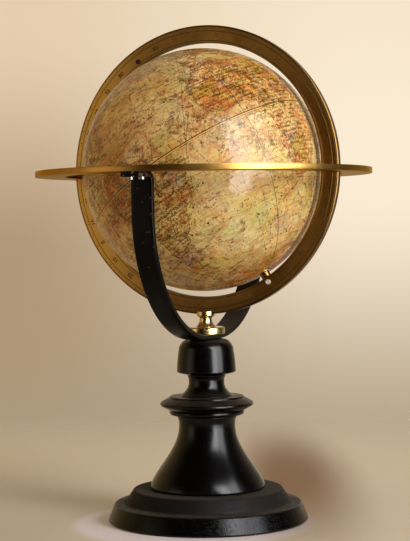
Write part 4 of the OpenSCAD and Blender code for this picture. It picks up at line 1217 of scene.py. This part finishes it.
def buildRoom():
    look = roomLook
    world = bpy.data.worlds.new("room")
    bpy.context.scene.world = world
    shade = Shading("room", world)
    place = shade.coordinates("Generated").parts()
    seen = backdropColour(shade, place)
    ahead = viewDirection()
    behind = place[0] * ahead.x + place[1] * ahead.y
    room = shade.mix(behind.between(0.1, 0.85), look["roomDark"], look["roomPale"])
    room = shade.mix(behind.between(0.82, 0.97), room, seen)
    room = shade.mix(place[0].below(-0.97, -0.6), room, look["leftWall"])
    window, warm = (Vector((*look[lamp][:2], 0)).normalized() for lamp in ("windowAway", "fillAway"))
    aside = abs(place[1] * warm.x - place[0] * warm.y)
    glow = aside.below(0.1, 0.4) * abs(place[2]).below(0.1, 0.6)
    glow = glow * behind.below(-0.2, 0.0)
    room = shade.mix(glow, room, (*(look["warmGlow"] * c for c in look["fillColour"]), 1))
    front = place[0] * window.x + place[1] * window.y
    turn = place[1] * window.x - place[0] * window.y
    for left, right, low, high, radiance in look["panes"]:  # the window as polished things mirror it
        pane = inside(turn, left, right, 0.02) * inside(place[2], low, high, 0.06) * front.between(0.0, 0.2)
        room = shade.mix(pane, room, (*(radiance * c for c in look["windowColour"]), 1))
    soft = shade.mix(behind.between(-0.9, 0.9), look["softDark"], look["softPale"])
    isCamera, isGlossy = (addNode(shade.tree, "LightPath", output=kind) for kind in ("Is Camera Ray", "Is Glossy Ray"))
    around = shade.mix(isGlossy, soft, room)
    background = shade.tree.nodes["Background"]
    feed(background.inputs["Color"], shade.mix(isCamera, around, seen))
    feed(background.inputs["Strength"], (isGlossy * (1 - look["ambient"]) + look["ambient"]).atLeast(isCamera))


def buildFloor():
    look = floorLook
    shade = Shading("table top")
    place = shade.coordinates()
    flat = place.parts()

    def distanceFrom(x, y):
        dx, dy = flat[0] - x, flat[1] - y
        return (dx * dx + dy * dy).math("SQRT")

    weave = place.noise(700, 3, 0.7)
    x, y = look["ahead"]
    across, beyond = flat[0] * y + flat[1] * -x, flat[0] * x + flat[1] * y
    # painted shade: the floor is darker near the object and in front of it, more so on the left
    dim = beyond.below(-0.07, 0.38) * across.between(-0.13, -0.02, 0.34, 0.17)
    # painted shadow of the stand: a soft brown patch on the floor to the right of it and behind, which also lowers the
    # floor's glow there
    across, beyond = ((way - centre) / reach
                      for way, centre, reach in zip((across, beyond), look["paintedShadowCentre"], look["paintedShadowReach"]))
    paintedShadow = (across * across + beyond * beyond).math("SQRT").between(0.15, 1.0, look["paintedShadowAmount"], 0.0)
    ragged = weave * 0.004 + distanceFrom(*look["clothCentre"])
    away = ragged.between(look["clothRadius"] - 0.004, look["clothRadius"] + 0.007)
    cloth = shade.mix(weave.between(0.35, 0.65), look["cloth"], look["clothDark"])
    colour = shade.mix(away, cloth, shade.mix(dim, look["far"], look["dim"]))
    shade.surface(colour=shade.mix(paintedShadow, colour, look["paintedShadow"]), roughness=0.7, specular=0.2)
    # painted light: the floor glows faintly to look brighter, less in the painted shade and the painted shadow
    faint = shade.mix(dim, look["glow"], look["dimGlow"])
    glow = addNode(shade.tree, "Emission", {"Color": shade.mix(paintedShadow, faint, look["paintedShadowGlow"])})
    lit = addNode(shade.tree, "AddShader", (Signal(shade.tree.nodes["Principled BSDF"].outputs[0]), glow))
    fade = distanceFrom(0, 0).between(0.16, 0.75)
    mixed = addNode(shade.tree, "MixShader", (fade, lit, addNode(shade.tree, "BsdfTransparent")))
    feed(shade.tree.nodes["Material Output"].inputs["Surface"], mixed)
    half = look["half"]
    corners = [(-half, -half, 0), (half, -half, 0), (half, half, 0), (-half, half, 0)]
    floor = meshObject("table_top", corners, [(0, 1, 2, 3)], shade.owner, smooth=False)


def addLamp(name, direction, distance, size, power, colour):
    lamp = bpy.data.lights.new(name, "AREA")
    lamp.shape = "RECTANGLE"
    lamp.size, lamp.size_y = size
    lamp.energy, lamp.color = power, colour
    thing = bpy.data.objects.new(name, lamp)
    away = Vector(direction).normalized()
    thing.location = globeCentre + away * distance
    thing.rotation_euler = away.to_track_quat("Z", "Y").to_euler()
    thing.visible_glossy = False
    bpy.context.scene.collection.objects.link(thing)


def buildLights():
    for name, lamp in (("window", "window"), ("warm fill", "fill")):
        addLamp(name, *(roomLook[lamp + key] for key in ("Away", "Distance", "Size", "Power", "Colour")))


def placeCamera():
    look = cameraLook
    data = bpy.data.cameras.new("camera")
    data.lens, data.sensor_width = look["lens"], 36
    data.dof.use_dof = False
    data.clip_start = 0.05
    camera = bpy.data.objects.new("camera", data)
    camera.location = look["place"]
    turn = viewDirection().to_track_quat("-Z", "Y").to_matrix() @ Matrix.Rotation(math.radians(look["roll"]), 3, "Z")
    camera.rotation_euler = turn.to_euler()
    bpy.context.scene.collection.objects.link(camera)
    bpy.context.scene.camera = camera
    bpy.context.scene.view_settings.view_transform = "Standard"


buildRoom()
buildFloor()
buildLights()
placeCamera()
print("stage done")
